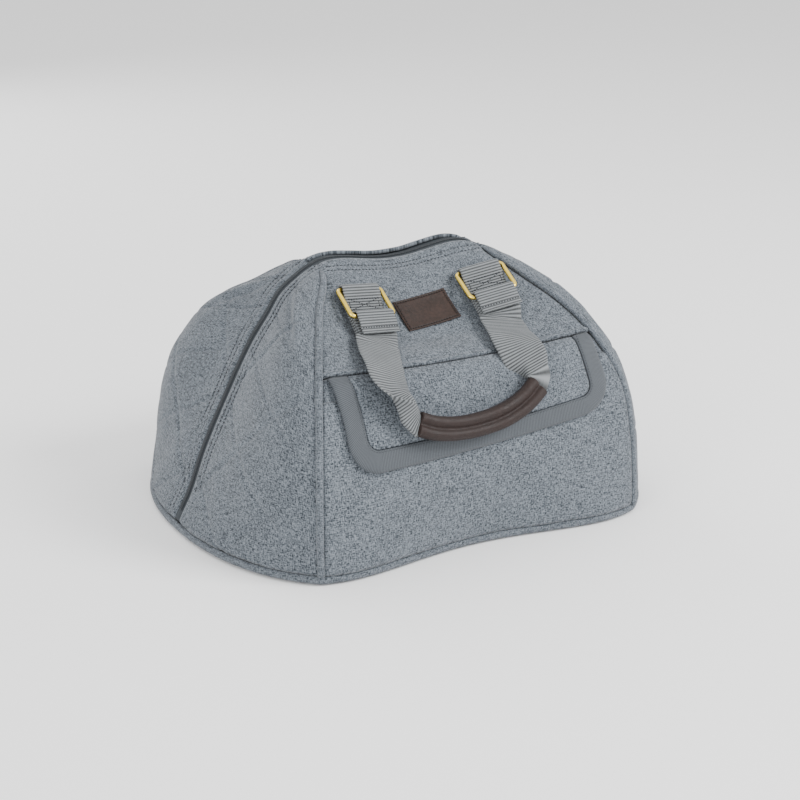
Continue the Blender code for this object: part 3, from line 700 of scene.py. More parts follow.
# %% From rows to a piece
def grid_piece(name, rows, maps, material, closed=False, capped=False, looped=False):
    """A piece from rows of points. maps gives each point's place on the cloth."""
    count = len(rows[0])
    points = [tuple(point) for row in rows for point in row]
    faces, loops = [], []
    for low in range(len(rows) if looped else len(rows) - 1):
        high = (low + 1) % len(rows)
        for spot in range(count if closed else count - 1):
            after = (spot + 1) % count
            faces.append((low * count + spot, low * count + after,
                          high * count + after, high * count + spot))
            loops += [maps[low][spot], maps[low][spot + 1], maps[low + 1][spot + 1], maps[low + 1][spot]]
    if capped:
        for row, order in ((0, reversed(range(count))), (len(rows) - 1, range(count))):
            corners = [row * count + spot for spot in order]
            faces.append(tuple(corners))
            loops += [maps[row][corner - row * count] for corner in corners]
    mesh = bpy.data.meshes.new(name)
    mesh.from_pydata(points, [], faces)
    layer = mesh.uv_layers.new(name=CLOTH_MAP)
    for loop, place in zip(layer.data, loops):
        loop.uv = place
    mesh.materials.append(material)
    mesh.shade_smooth()
    made = bpy.data.objects.new(name, mesh)
    bpy.context.scene.collection.objects.link(made)
    return made


def add_wall(piece, wall):
    thick = piece.modifiers.new("wall", "SOLIDIFY")
    thick.thickness = wall
    thick.offset = -1.0
    return piece


def face_outwards(piece):
    """Turn the faces of a closed piece outwards."""
    form = bmesh.new()
    form.from_mesh(piece.data)
    bmesh.ops.recalc_face_normals(form, faces=form.faces[:])
    form.to_mesh(piece.data)
    form.free()


def settle_in(piece, slot, *nodes):
    """The finished piece rides on the bag and stands for its solids."""
    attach(piece, "root")
    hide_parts(*nodes)


def cloth_panel(name, rows, maps, wall):
    """A piece of the bag's grey cloth with its wall, in its place."""
    piece = add_wall(grid_piece(name, rows, maps, grey_cloth), wall)
    settle_in(piece, "grey_melange", name)
    return piece


print("the grey cloth's pieces use", grey_cloth.name)


# %% Maps and flat sizes
def no_maps(rows):
    """Maps for a closed piece whose finish doesn't read them."""
    return [[(0.0, 0.0)] * (len(rows[0]) + 1)] * (len(rows) + 1)


def measured_maps(rows):
    """Places on the cloth from lengths along the rows and columns themselves."""
    maps = []
    upright = 0.0
    for spot, row in enumerate(rows):
        if spot:
            middle = len(row) // 2
            upright += (row[middle] - rows[spot - 1][middle]).length
        lengths = [0.0]
        for before, after in zip(row, row[1:]):
            lengths.append(lengths[-1] + (after - before).length)
        maps.append([(place - lengths[-1] / 2, upright) for place in lengths])
    return maps


def flat_area(maps):
    """The area of a piece on the cloth's own map, as it was cut."""
    total = 0.0
    for low, high in zip(maps, maps[1:]):
        for spot in range(len(low) - 1):
            rising = Vector(high[spot + 1]) - Vector(low[spot])
            falling = Vector(high[spot]) - Vector(low[spot + 1])
            total += abs(rising.cross(falling)) / 2
    return total


def declare_sheet(maps):
    across = [place[0] for row in maps for place in row]
    upright = [place[1] for row in maps for place in row]
    flat_area(maps)


square = [[(0.0, 0.0), (1.0, 0.0)], [(0.0, 1.0), (1.0, 1.0)]]
print("the area of a square with sides of 1 m:", flat_area(square))

# %% [markdown]
# ## Folds and unevenness
#
# Sewn cloth is never a perfect surface. A simulation could find its folds, but not the ones
# that this bag shows. So soft noise gives it slight waves, edges tuck in towards their
# seams, and a table adds the few long folds. A fold is a ridge, or a valley where its height
# is negative, with a place, a direction and two widths.

# %% Waves, tucks and folds
def waves(point, size, height, seed):
    """Gentle unevenness at a place, in metres."""
    return noise.noise(point / size + Vector((seed, 0.0, 0.0))) * height


def unevenness(point, table, seed=0.0):
    """The sum of a table of waves. Its columns are size, height and seed."""
    return sum(waves(point, size, height, first + seed) for size, height, first in table)


def softness(distance, reach):
    """A share that rises from 0 at an edge to 1 at the reach."""
    return min(max(distance, 0.0) / reach, 1.0)


def tuck(distance, depth, width):
    """How far an edge turns in at a distance from its seam."""
    if distance <= 0.0:
        return depth
    return depth * math.exp(-(distance / width) ** 2)


def folds_at(table, x, up):
    """The sum of all folds of a table at a place of the cloth's map."""
    total = 0.0
    for place_x, place_up, turn, half_length, half_width, height in table:
        angle = math.radians(turn)
        side, ahead = x - place_x, up - place_up
        along = side * math.cos(angle) + ahead * math.sin(angle)
        across = ahead * math.cos(angle) - side * math.sin(angle)
        total += height * math.exp(-(along / half_length) ** 2 - (across / half_width) ** 2)
    return total


FRONT_FOLDS = (
    # x, up, turn, half_length, half_width, height
    (-0.060, 0.035, 100, 0.050, 0.012, 0.0012),
    (-0.020, 0.045, 80, 0.045, 0.014, -0.0010),
    (0.070, 0.040, 70, 0.050, 0.013, 0.0010),
    (0.105, 0.075, 95, 0.040, 0.010, -0.0010),
    (0.000, 0.195, 5, 0.060, 0.008, 0.0008),
    (-0.055, 0.245, -25, 0.030, 0.006, 0.0010),
    (0.050, 0.250, 20, 0.030, 0.006, -0.0008),
)
print("long folds on the front:", len(FRONT_FOLDS))

# %% The front's relief
LIP_ROWS = (0.008, 0.014)
LIP_PAST = 0.003
GROOVE_DEPTH = 0.0006
GROOVE_WIDTH = 0.0016
FRONT_WAVES = (
    # size, height, seed
    (0.045, 0.0011, 1.0),
    (0.014, 0.0003, 5.0),
)
PUCKER = (0.006, 0.0006, 9.0)
PUCKER_REACH = 0.008
EDGE_SOFT = 0.012
CORNER_TUCK = (0.0012, 0.0022)


def sewn_groove(distance, rows_at):
    """How far stitched rows pull the cloth in, at a distance from the edge they follow."""
    return sum(GROOVE_DEPTH * math.exp(-((distance - row) / GROOVE_WIDTH) ** 2) for row in rows_at)


@functools.lru_cache(maxsize=None)
def side_room_front(along):
    return side_room(along, Vector((1.0, 0.0, 0.0)))


def front_relief(x, along):
    """Everything that lifts or lowers the front's cloth at a place."""
    up = along * PANEL_LENGTH
    edge = level(along)["seam"].x - side_room_front(along) - abs(x)
    point = Vector((x, up, 0.0))
    pucker = waves(point, *PUCKER) * math.exp(-max(edge, 0.0) / PUCKER_REACH)
    total = unevenness(point, FRONT_WAVES) + pucker + folds_at(FRONT_FOLDS, x, up)
    total -= sewn_groove((1.0 - along) * PANEL_LENGTH, LIP_ROWS)
    return total * softness(edge, EDGE_SOFT) - tuck(edge, *CORNER_TUCK)


print("relief in the front's middle:", round(front_relief(0.0, 0.5), 5), "m")

# %% [markdown]
# ## The front, the yoke and the back
#
# The lower front and the yoke meet at a seam that sags a little. Each is a grid between two
# lines across the bag, and near a seam its cloth turns in, so that a dark line shows there.
# Under the yoke's seam the turned-in cloth makes a low ridge, the welt. At the top the cloth
# reaches a little over the zip's tape as a lip. The pocket's outer layer is one more such
# grid just off the lower front, and the back is the whole front turned round.

# %% Panels of the front and back
COLUMNS = 120
FRONT_ROWS = 84
YOKE_ROWS = 110
POCKET_ROWS = 70
BACK_ROWS = 120
WELT_HEIGHT = 0.0030
WELT_PLACE = 0.0024
WELT_WIDTH = 0.0024
PANEL_TUCK = 0.0014
YOKE_TUCK = 0.0016
TUCK_WIDTH = 0.002
HEM_DROP = 0.020


def welt(distance):
    """The ridge that the turned-in seam allowance makes beside a seam."""
    return WELT_HEIGHT * math.exp(-((distance - WELT_PLACE) / WELT_WIDTH) ** 2)


def front_grid(low, high, rows_wanted, lift=0.0, seam_tuck=PANEL_TUCK, welted=False):
    """Rows and maps of the front between two lines across it, given as functions of x."""
    rows, maps = [], []
    for part in spread(0.0, 1.0, rows_wanted):
        row, places = [], []
        for share in spread(-1.0, 1.0, COLUMNS):
            guess = level(low(0.0) + (high(0.0) - low(0.0)) * part)["seam"].x * share
            first, last = low(guess), high(guess)
            along = first + (last - first) * part
            x = (level(along)["seam"].x - side_room_front(along)) * share
            inside = min(along - first, last - along) * PANEL_LENGTH
            height = lift + front_relief(x, along) - tuck(inside, seam_tuck, TUCK_WIDTH)
            if welted:
                height += welt((along - first) * PANEL_LENGTH)
            row.append(front_point(x, along, height))
            places.append((x, along * PANEL_LENGTH))
        rows.append(row)
        maps.append(places)
    return rows, maps


def base_line(x):
    return 0.0


def lip_line(x):
    return 1.0 + LIP_PAST / PANEL_LENGTH


def yoke_low(x):
    return yoke_seam(x) + CURVED_GAP / PANEL_LENGTH


def hem_line(x):
    return yoke_seam(x) - HEM_DROP / PANEL_LENGTH


print("welt beside the yoke seam:", WELT_HEIGHT, "m high")

# %% The four panels
rows, maps = front_grid(base_line, yoke_seam, FRONT_ROWS)
front_panel = cloth_panel("front_panel", rows, maps, PANEL_WALL)
rows, maps = front_grid(yoke_low, lip_line, YOKE_ROWS, seam_tuck=YOKE_TUCK, welted=True)
front_yoke = cloth_panel("front_yoke", rows, maps, PANEL_WALL)
rows, maps = front_grid(base_line, hem_line, POCKET_ROWS, CURVED_GAP + POCKET_WALL)
pocket_panel = cloth_panel("pocket_panel", rows, maps, POCKET_WALL)
declare_sheet(maps)
rows, maps = front_grid(base_line, lip_line, BACK_ROWS)
rows = [[turned_back(point) for point in reversed(row)] for row in rows]
back_panel = cloth_panel("back_panel", rows, maps, PANEL_WALL)
for panel in (front_panel, front_yoke, pocket_panel, back_panel):
    print(panel.name, "points:", len(panel.data.vertices))

# %% [markdown]
# ## The quilted ends
#
# Each end is padded and sewn through in large diamonds. A bump in the material would show
# them only from some sides, so they are in the mesh: valleys follow two families of slanting
# lines. One end's grid is made and then turned to the bag's other three quarters, each with
# waves of its own.

# %% Gussets
QUILT_SPACING = 0.056
QUILT_TURN = math.radians(52)
QUILT_DEPTH = 0.0013
QUILT_WIDTH = 0.0019
GUSSET_COLUMNS = 104
GUSSET_ROWS = 170
GUSSET_FOLDS = (
    # x (from the corner seam), up, turn, half_length, half_width, height
    (0.022, 0.200, 84, 0.035, 0.006, 0.0022),
    (0.034, 0.195, 86, 0.034, 0.005, -0.0016),
    (0.110, 0.040, 60, 0.040, 0.010, 0.0012),
    (0.060, 0.090, 40, 0.045, 0.009, 0.0008),
)
GUSSET_WAVES = (
    # size, height, seed
    (0.05, 0.0014, 0.0),
    (0.016, 0.0004, 3.0),
)
GUSSET_TUCK = (0.0014, 0.0025)
FOOT_TUCK = (0.0012, 0.002)
ZIP_ROWS = (0.005, 0.011)
ZIP_FLANGE = 0.0024


def quilting(x, up):
    """How far the sewn diamonds pull the padding in at a place."""
    total = 0.0
    for turn in (QUILT_TURN, -QUILT_TURN):
        across = (x * math.cos(turn) + up * math.sin(turn)) / QUILT_SPACING
        off = abs(across - round(across)) * QUILT_SPACING
        total = max(total, math.exp(-(off / QUILT_WIDTH) ** 2))
    return total * QUILT_DEPTH


@functools.lru_cache(maxsize=None)
def gusset_chord(along):
    return level(along)["zip"] - level(along)["seam"]


def gusset_grid(seed):
    """Rows and maps of the right front gusset. Each seed gives it other waves."""
    rows, maps = [], []
    for along in spread(0.0, 1.0, GUSSET_ROWS):
        chord = gusset_chord(along)
        width = chord.length
        start = side_room(along, chord) / width
        end = 1.0 + ZIP_FLANGE / width
        row, places = [], []
        for across in spread(start, end, GUSSET_COLUMNS):
            x, up = across * width, along * PANEL_LENGTH
            point = Vector((x, up, seed))
            edge = min(across - start, end - across) * width
            height = unevenness(point, GUSSET_WAVES, seed)
            height += folds_at(GUSSET_FOLDS, x, up) - quilting(x, up)
            height -= sewn_groove((1.0 - across) * width, ZIP_ROWS)
            height *= softness(edge, EDGE_SOFT)
            height -= tuck(edge, *GUSSET_TUCK) + tuck(up, *FOOT_TUCK)
            row.append(gusset_point(along, across, height))
            places.append((x, up))
        rows.append(row)
        maps.append(places)
    return rows, maps


for number, (half, end, turn, flipped) in enumerate(QUARTERS):
    rows, maps = gusset_grid(float(number * 7))
    if flipped:
        rows = [list(reversed(row)) for row in rows]
        maps = [list(reversed(row)) for row in maps]
    rows = [[turn(point) for point in row] for row in rows]
    gusset = cloth_panel(f"{half}_gusset_{end}", rows, maps, GUSSET_WALL)
print("gusset points:", len(gusset.data.vertices))

# %% [markdown]
# ## Base
#
# The base is a flat sheet whose rim turns up to the base seam. A box with round edges
# wouldn't meet the panels, so it is lofted from outlines that all follow the bag's foot, and
# closed by one flat face on the ground.

# %% Base panel
BASE_BULGE = 0.0014
BASE_ROUND = 0.0006
BASE_FLAT_INSET = 0.0055
BASE_MAP_STEP = 0.0016


def base_outline():
    """The bag's foot seen from above, once round."""
    half = level(0.0)["seam"].x
    front = [front_point(half * share, 0.0) for share in spread(-1.0, 1.0, 60)[:-1]]
    end = [gusset_point(0.0, across) for across in spread(0.0, 1.0, 40)]
    far_end = [turned_back(point) for point in reversed(end)]
    back = [turned_back(point) for point in reversed(front[1:])]
    right = end + far_end
    left = [turned_left(point) for point in reversed(right[1:])]
    return front + right + back + left


def inset(outline, distance, height):
    """The outline moved inwards and set at a height."""
    moved = []
    count = len(outline)
    for spot, point in enumerate(outline):
        run = outline[(spot + 1) % count] - outline[spot - 1]
        inward = Vector((-run.y, run.x, 0.0)).normalized()
        place = point + inward * distance
        moved.append(Vector((place.x, place.y, height)))
    return moved


outline = base_outline()
rim = BASE_SEAM_HEIGHT - GAP
BASE_RINGS = (
    # inset, height share of the rim
    (BASE_FLAT_INSET, 0.0),
    (0.0030, 0.03),
    (BASE_ROUND, 0.16),
    (-BASE_BULGE * 0.75, 0.33),
    (-BASE_BULGE, 0.52),
    (-BASE_BULGE * 0.8, 0.72),
    (-BASE_BULGE * 0.2, 0.88),
    (0.0006, 0.96),
    (0.0018, 1.0),
)
rows = [inset(outline, distance, rim * share) for distance, share in BASE_RINGS]
around = [0.0]
for before, after in zip(outline, outline[1:] + outline[:1]):
    around.append(around[-1] + (after - before).length)
maps = [[(place, number * BASE_MAP_STEP) for place in around] for number in range(len(rows))]
base_panel = grid_piece("base_panel", rows, maps, grey_cloth, closed=True)
form = bmesh.new()
form.from_mesh(base_panel.data)
form.verts.ensure_lookup_table()
sole = form.faces.new([form.verts[spot] for spot in reversed(range(len(outline)))])
layer = form.loops.layers.uv[CLOTH_MAP]
for loop in sole.loops:
    loop[layer].uv = loop.vert.co.xy
form.to_mesh(base_panel.data)
form.free()
add_wall(base_panel, BASE_WALL)
settle_in(base_panel, "grey_melange", "base_panel")
print("base outline:", round(around[-1], 3), "m")

# %% [markdown]
# ## Piping
#
# A cord covered in the same cloth is sewn into each corner seam. It is a tube along the
# seam, a little flattened, and near the ridge it thins out into a plain seam. The panels'
# edges press against it, so no light shows between them.

# %% Corner piping
PIPING_SIDES = 14
PIPING_TIP = 0.962
PIPING_THINS = 0.855
PIPING_ROWS = 160
PIPING_FLAT = 0.9
PIPING_WAVES = (0.02, 0.00025, 3.0)


def piping_rows():
    """Rows and maps of the cord in the right front corner seam."""
    rows, maps = [], []
    length = 0.0
    previous = None
    for along in spread(0.0, PIPING_TIP, PIPING_ROWS):
        middle = level(along)["seam"]
        run = (level(along + STEP)["seam"] - level(along - STEP)["seam"]).normalized()
        outward = (panel_outward(along) + gusset_outward(along)).normalized()
        side = run.cross(outward).normalized()
        outward = side.cross(run)
        past = max(along - PIPING_THINS, 0.0) / (PIPING_TIP - PIPING_THINS)
        thin = 1.0 - 0.3 * past - 0.5 * past ** 6
        wobble = waves(middle, *PIPING_WAVES)
        length += (middle - previous).length if previous else 0.0
        previous = middle
        rows.append([middle + side * (math.cos(turn) * PIPING_RADIUS * thin)
                     + outward * (math.sin(turn) * PIPING_RADIUS * PIPING_FLAT * thin + wobble)
                     for turn in full_turn(PIPING_SIDES)])
        maps.append([(PIPING_RADIUS * 2 * math.pi * number / PIPING_SIDES, length)
                     for number in range(PIPING_SIDES + 1)])
    return rows, maps


cord_rows, cord_maps = piping_rows()
for half, end, turn, flipped in QUARTERS:
    name = f"piping_{half}_{end}"
    rows = [[turn(point) for point in (reversed(row) if flipped else row)] for row in cord_rows]
    piping = grid_piece(name, rows, cord_maps, grey_cord, closed=True, capped=True)
    settle_in(piping, "grey_piping", name)
print("piping length:", round(cord_maps[-1][0][1], 3), "m")

# %% [markdown]
# ## Pocket flap and its binding
#
# The flap hangs from the yoke seam, where it tucks in under the welt, and its corners are
# rounded. A band of ribbed ribbon is sewn round its three free sides and rolls over the
# edge. Both are grids that measure their places from the yoke seam, so they follow the
# bag's sunken front.

# %% Flap
FLAP_HALF_WIDTH = 0.119
FLAP_LENGTH = 0.0725
FLAP_SKEW = 0.008
FLAP_CORNER = 0.026
FLAP_TUCK = 0.0034
BINDING_WIDTH = 0.016
BINDING_PROUD = 0.0008
BINDING_SEWN = 0.0007
BINDING_ROUND = 0.0016
FLAP_STAND_OFF = 0.0004
FLAP_LIFT = CURVED_GAP + POCKET_WALL + CURVED_GAP + FLAP_STAND_OFF + FLAP_WALL
FLAP_TUCK_WIDTH = 0.005
FLAP_EDGE_TUCK = (0.0009, 0.002)
FLAP_SOFT = 0.01
FLAP_COLUMNS = 100
FLAP_ROWS = (30, 10)
BORDER_ROWS = (24, 20)
BORDER_COLUMNS = 70
BINDING_COLUMNS = 14
FLAP_WAVES = (
    # size, height, seed
    (0.05, 0.0012, 21.0),
    (0.015, 0.0003, 25.0),
)


def flap_half_width(part, inner):
    """Half the flap's width at a share of its length, inside a border."""
    corner = FLAP_CORNER - inner
    length = FLAP_LENGTH - inner
    half = FLAP_HALF_WIDTH - inner
    below = part * length - (length - corner)
    if below <= 0.0:
        return half
    return half - corner + math.sqrt(max(corner ** 2 - below ** 2, 0.0))


def flap_point(x, down, lift):
    """A place on the flap, measured from the yoke seam, with its slack waves."""
    skewed = down * (1 - FLAP_SKEW / FLAP_LENGTH * x / FLAP_HALF_WIDTH)
    along = yoke_seam(x) - skewed / PANEL_LENGTH
    ease = unevenness(Vector((x, down, 0.0)), FLAP_WAVES) * softness(down, FLAP_SOFT)
    return front_point(x, along, lift + ease - tuck(down, FLAP_TUCK, FLAP_TUCK_WIDTH))


def flap_parts(straight_rows, corner_rows):
    """Shares of the flap's length, closer together round its corners."""
    straight = 1 - FLAP_CORNER / FLAP_LENGTH
    turns = [math.sin(math.radians(90 * number / corner_rows)) for number in range(1, corner_rows + 1)]
    return spread(0.0, straight, straight_rows) + [straight + (1 - straight) * turn for turn in turns]


def border_line(inner, start):
    """Places down the left side, along the bottom and up the right side, inside a border."""
    parts = flap_parts(*BORDER_ROWS)
    length = FLAP_LENGTH - inner
    left = [(-flap_half_width(part, inner), start + part * (length - start)) for part in parts]
    bottom = [(left[-1][0] * share, length) for share in spread(1.0, -1.0, BORDER_COLUMNS)[1:-1]]
    right = [(-x, down) for x, down in reversed(left)]
    return left + bottom + right


inner = BINDING_WIDTH + GAP
rows, maps = [], []
for part in reversed(flap_parts(*FLAP_ROWS)):
    half = flap_half_width(part, inner)
    down = GAP + part * (FLAP_LENGTH - inner - GAP)
    places = [half * share for share in spread(-1.0, 1.0, FLAP_COLUMNS)]
    edge_sink = [min(half - abs(x), FLAP_LENGTH - inner - down) for x in places]
    rows.append([flap_point(x, down, FLAP_LIFT - tuck(sink, *FLAP_EDGE_TUCK))
                 for x, sink in zip(places, edge_sink)])
    maps.append([(x, -down) for x in places])
pocket_flap = cloth_panel("pocket_flap", rows, maps, FLAP_WALL)
declare_sheet(maps)
print("flap:", FLAP_HALF_WIDTH * 2, "by", FLAP_LENGTH, "m with its binding")

# %% Binding
inside = border_line(BINDING_WIDTH, GAP)
outside = border_line(0.0, GAP)
rows, maps = [], []
travelled = [0.0]
for before, after in zip(outside, outside[1:]):
    travelled.append(travelled[-1] + math.hypot(after[0] - before[0], after[1] - before[1]))
for share in spread(0.0, 1.0, BINDING_COLUMNS):
    round_off = tuck(share * BINDING_WIDTH, BINDING_ROUND, BINDING_ROUND)
    sewn_in = tuck((1 - share) * BINDING_WIDTH, BINDING_SEWN, BINDING_ROUND)
    lift = FLAP_LIFT + BINDING_PROUD - round_off - sewn_in
    rows.append([flap_point(*between(low, high, share), lift) for low, high in zip(outside, inside)])
    maps.append([(share * BINDING_WIDTH, place) for place in travelled])
flap_binding = add_wall(grid_piece("flap_binding", rows, maps, grey_binding), FLAP_WALL)
settle_in(flap_binding, "grey_webbing", "flap_binding")
print("binding length:", round(travelled[-1], 3), "m")

# %% [markdown]
# ## The zip
#
# The zip lies in the bag's middle plane and runs from one base seam to the other. Its tape
# is a strip with a fine weave, set a little below the cloth's edges, which reach over it.
# Over the ridge it is wider, because the lips stand further apart there. The closed coil on
# it is two rows of small teeth. They repeat along a path, so Geometry Nodes place them.

# %% Zip tape
TAPE_WALL = 0.0012
TAPE_RECESS = 0.0016
COIL_HEIGHT = 0.0014
ZIP_FOOT = 0.004
COIL_START = 4
RIDGE_HALF_WIDTH = 0.0122
RIDGE_EASE = 0.008
ZIP_SIDE_END = 0.985
RIDGE_SHARE = 0.94
TAPE_HUMP = 0.0005
TAPE_HUMP_WIDTH = 0.003
TAPE_COLUMNS = 12
SIDE_ROWS = 110
RIDGE_ROWS = 70


def zip_line():
    """The zip's line from the right end over the ridge to the left."""
    side = [level(along)["zip"] for along in spread(ZIP_FOOT, ZIP_SIDE_END, SIDE_ROWS)]
    half = level(1.0)["seam"].x * RIDGE_SHARE
    ridge = [front_point(x, 1.0) for x in spread(half, -half, RIDGE_ROWS)]
    line = side + ridge + [turned_left(point) for point in reversed(side)]
    return [Vector((point.x, 0.0, point.z)) for point in line]


def outward_of(line, spot):
    """The direction out of the zip's tape at one point of its line."""
    run = line[min(spot + 1, len(line) - 1)] - line[max(spot - 1, 0)]
    return Vector((run.z, 0.0, -run.x)).normalized()


def tape_half_width(x):
    """The tape is wider over the ridge, where it reaches under the front's and back's lips."""
    half = level(1.0)["seam"].x
    share = min(max((half + RIDGE_EASE - abs(x)) / RIDGE_EASE, 0.0), 1.0)
    return ZIP_OPENING / 2 - GAP + (RIDGE_HALF_WIDTH - ZIP_OPENING / 2) * share


zip_path = zip_line()
rows = []
for spot, point in enumerate(zip_path):
    outward = outward_of(zip_path, spot)
    half_tape = tape_half_width(point.x)
    row = []
    for share in spread(-1.0, 1.0, TAPE_COLUMNS):
        hump = TAPE_HUMP * math.exp(-(share * half_tape / TAPE_HUMP_WIDTH) ** 2)
        row.append(point - outward * (TAPE_RECESS - hump) + Vector((0.0, share * half_tape, 0.0)))
    rows.append(row)
zip_tape = add_wall(grid_piece("zip_tape", rows, measured_maps(rows), zip_cloth), TAPE_WALL)
settle_in(zip_tape, "dark_tape", "zip_tape")
print("zip length:", round(measured_maps(rows)[-1][0][1], 3), "m")

# %% [markdown]
# The tree below turns a line into a curve, spaces points along it and puts one small bar at
# each. The bar is a stretched ball with few faces, because there are many of them. Its long
# side lies along the curve for a stitch and across it for a zip's tooth, and the curve's own
# tangent turns it.

# %% A tree that repeats small bars along a line
BAR_SIDES = 6
BAR_RINGS = 4


def make_bar_tree(name):
    """A tree with named sizes that sets one small bar at every step of a line."""
    tree = bpy.data.node_groups.new(name, "GeometryNodeTree")
    tree.interface.new_socket("Geometry", in_out="INPUT", socket_type="NodeSocketGeometry")
    for label in ("Spacing", "Length", "Width", "Height"):
        tree.interface.new_socket(label, in_out="INPUT", socket_type="NodeSocketFloat")
    tree.interface.new_socket("Finish", in_out="INPUT", socket_type="NodeSocketMaterial")
    tree.interface.new_socket("Geometry", in_out="OUTPUT", socket_type="NodeSocketGeometry")
    given, result = tree.nodes.new("NodeGroupInput"), tree.nodes.new("NodeGroupOutput")
    curve = tree.nodes.new("GeometryNodeMeshToCurve")
    tree.links.new(given.outputs["Geometry"], curve.inputs["Mesh"])
    points = tree.nodes.new("GeometryNodeCurveToPoints")
    points.mode = "LENGTH"
    tree.links.new(curve.outputs["Curve"], points.inputs["Curve"])
    tree.links.new(given.outputs["Spacing"], points.inputs["Length"])
    ball = tree.nodes.new("GeometryNodeMeshUVSphere")
    ball.inputs["Segments"].default_value = BAR_SIDES
    ball.inputs["Rings"].default_value = BAR_RINGS
    ball.inputs["Radius"].default_value = 0.5
    turn = tree.nodes.new("FunctionNodeAlignRotationToVector")
    turn.axis = "X"
    tree.links.new(points.outputs["Tangent"], turn.inputs["Vector"])
    size = tree.nodes.new("ShaderNodeCombineXYZ")
    for label, axis in (("Length", "X"), ("Width", "Y"), ("Height", "Z")):
        tree.links.new(given.outputs[label], size.inputs[axis])
    copies = tree.nodes.new("GeometryNodeInstanceOnPoints")
    tree.links.new(points.outputs["Points"], copies.inputs["Points"])
    tree.links.new(ball.outputs["Mesh"], copies.inputs["Instance"])
    tree.links.new(turn.outputs["Rotation"], copies.inputs["Rotation"])
    tree.links.new(size.outputs["Vector"], copies.inputs["Scale"])
    smooth = tree.nodes.new("GeometryNodeSetShadeSmooth")
    real = tree.nodes.new("GeometryNodeRealizeInstances")
    tree.links.new(copies.outputs["Instances"], real.inputs["Geometry"])
    tree.links.new(real.outputs["Geometry"], smooth.inputs["Geometry"])
    paint = tree.nodes.new("GeometryNodeSetMaterial")
    tree.links.new(smooth.outputs["Geometry"], paint.inputs["Geometry"])
    tree.links.new(given.outputs["Finish"], paint.inputs["Material"])
    tree.links.new(paint.outputs["Geometry"], result.inputs["Geometry"])
    return tree


bar_tree = make_bar_tree("bars_along_a_line")
print("tree:", bar_tree.name, "nodes:", len(bar_tree.nodes))


# %% Growing bars on lines
def line_object(name, lines):
    """A mesh of open lines, one for each list of points."""
    points, edges = [], []
    for line in lines:
        first = len(points)
        points += [tuple(point) for point in line]
        edges += [(first + spot, first + spot + 1) for spot in range(len(line) - 1)]
    mesh = bpy.data.meshes.new(name)
    mesh.from_pydata(points, edges, [])
    made = bpy.data.objects.new(name, mesh)
    bpy.context.scene.collection.objects.link(made)
    return made


def grown(holder, tree, values):
    """Run a tree on an object and keep its result as the object's plain mesh."""
    modifier = holder.modifiers.new("grow", "NODES")
    modifier.node_group = tree
    for item in tree.interface.items_tree:
        if item.in_out == "INPUT" and item.name in values:
            modifier[item.identifier] = values[item.name]
    holder.update_tag()
    bpy.context.view_layer.update()
    graph = bpy.context.evaluated_depsgraph_get()
    mesh = bpy.data.meshes.new_from_object(holder.evaluated_get(graph), depsgraph=graph)
    holder.modifiers.clear()
    holder.data = mesh
    return holder


def bars_along(name, lines, spacing, size, finish):
    """Small bars along lines: stitches, or the teeth of a zip."""
    length, width, height = size
    made = grown(line_object(name, lines), bar_tree, {
        "Spacing": spacing, "Length": length, "Width": width, "Height": height, "Finish": finish})
    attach(made, "root")
    print(name, "faces:", len(made.data.polygons))
    return made


print("a bar has", BAR_SIDES * BAR_RINGS, "faces")

# %% Zip coil
TOOTH = (0.0011, 0.0024, 0.0013)
TOOTH_SPACING = 0.0014
COIL_OFF = 0.0012
COIL_SINK = TAPE_RECESS - GAP - COIL_HEIGHT / 2
coil_lines = []
for side in (-1, 1):
    coil_lines.append([point - outward_of(zip_path, spot) * COIL_SINK
                       + Vector((0.0, side * COIL_OFF, 0.0))
                       for spot, point in list(enumerate(zip_path))[COIL_START:-COIL_START]])
zip_coil = bars_along("zip_coil", coil_lines, TOOTH_SPACING, TOOTH, coil_plastic)
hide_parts("zip_coil")

# %% Zip slider
SLIDER_SIDES = 16
SLIDER_SQUARE = 0.5
SLIDER_LENGTH = 0.013
SLIDER_WIDTH = 0.009
SLIDER_HEIGHT = 0.003
SLIDER_UP = 0.0195
SLIDER_OUTLINE = (
    # along, half width: shares of the slider's length and half its width, from its lower end
    (-0.50, 0.62),
    (-0.15, 0.70),
    (0.20, 1.00),
    (0.42, 0.92),
    (0.50, 0.55),
)


def squared(wave):
    """A sine or cosine that is drawn towards a square's corners."""
    return math.copysign(abs(wave) ** SLIDER_SQUARE, wave)


def make_slider():
    """The slider's body: a low domed block, wider at its upper end."""
    spot = 1
    while zip_path[spot].z < zip_path[0].z + SLIDER_UP:
        spot += 1
    outward = outward_of(zip_path, spot)
    sideways = Vector((0.0, 1.0, 0.0))
    ahead = sideways.cross(outward)
    lift = SLIDER_HEIGHT / 2 + 2 * GAP - (TAPE_RECESS - GAP - COIL_HEIGHT)
    middle = zip_path[spot] + outward * lift
    rows = []
    for along, wide in SLIDER_OUTLINE:
        rows.append([middle + ahead * (along * SLIDER_LENGTH)
                     + sideways * (squared(math.cos(turn)) * wide * SLIDER_WIDTH / 2)
                     + outward * (squared(math.sin(turn)) * SLIDER_HEIGHT / 2)
                     for turn in full_turn(SLIDER_SIDES)])
    slider = grid_piece("zip_slider", rows, no_maps(rows), gold, closed=True, capped=True)
    face_outwards(slider)
    settle_in(slider, "gold_metal", "zip_slider")
    return slider


slider = make_slider()
print("slider faces:", len(slider.data.polygons))

# %% [markdown]
# ## Webbing, rings and handle
#
# Webbing is a band with strong ribs across it. Its route is given by a few rows of points,
# which are joined smoothly, and then both faces are raised into ribs. Ribs in the material
# alone would leave the band's edges straight. The anchors fold over the rings' top bars, and
# the handle's webbing turns round the lower bars, runs down over the flap and folds
# lengthwise into the leather grip.

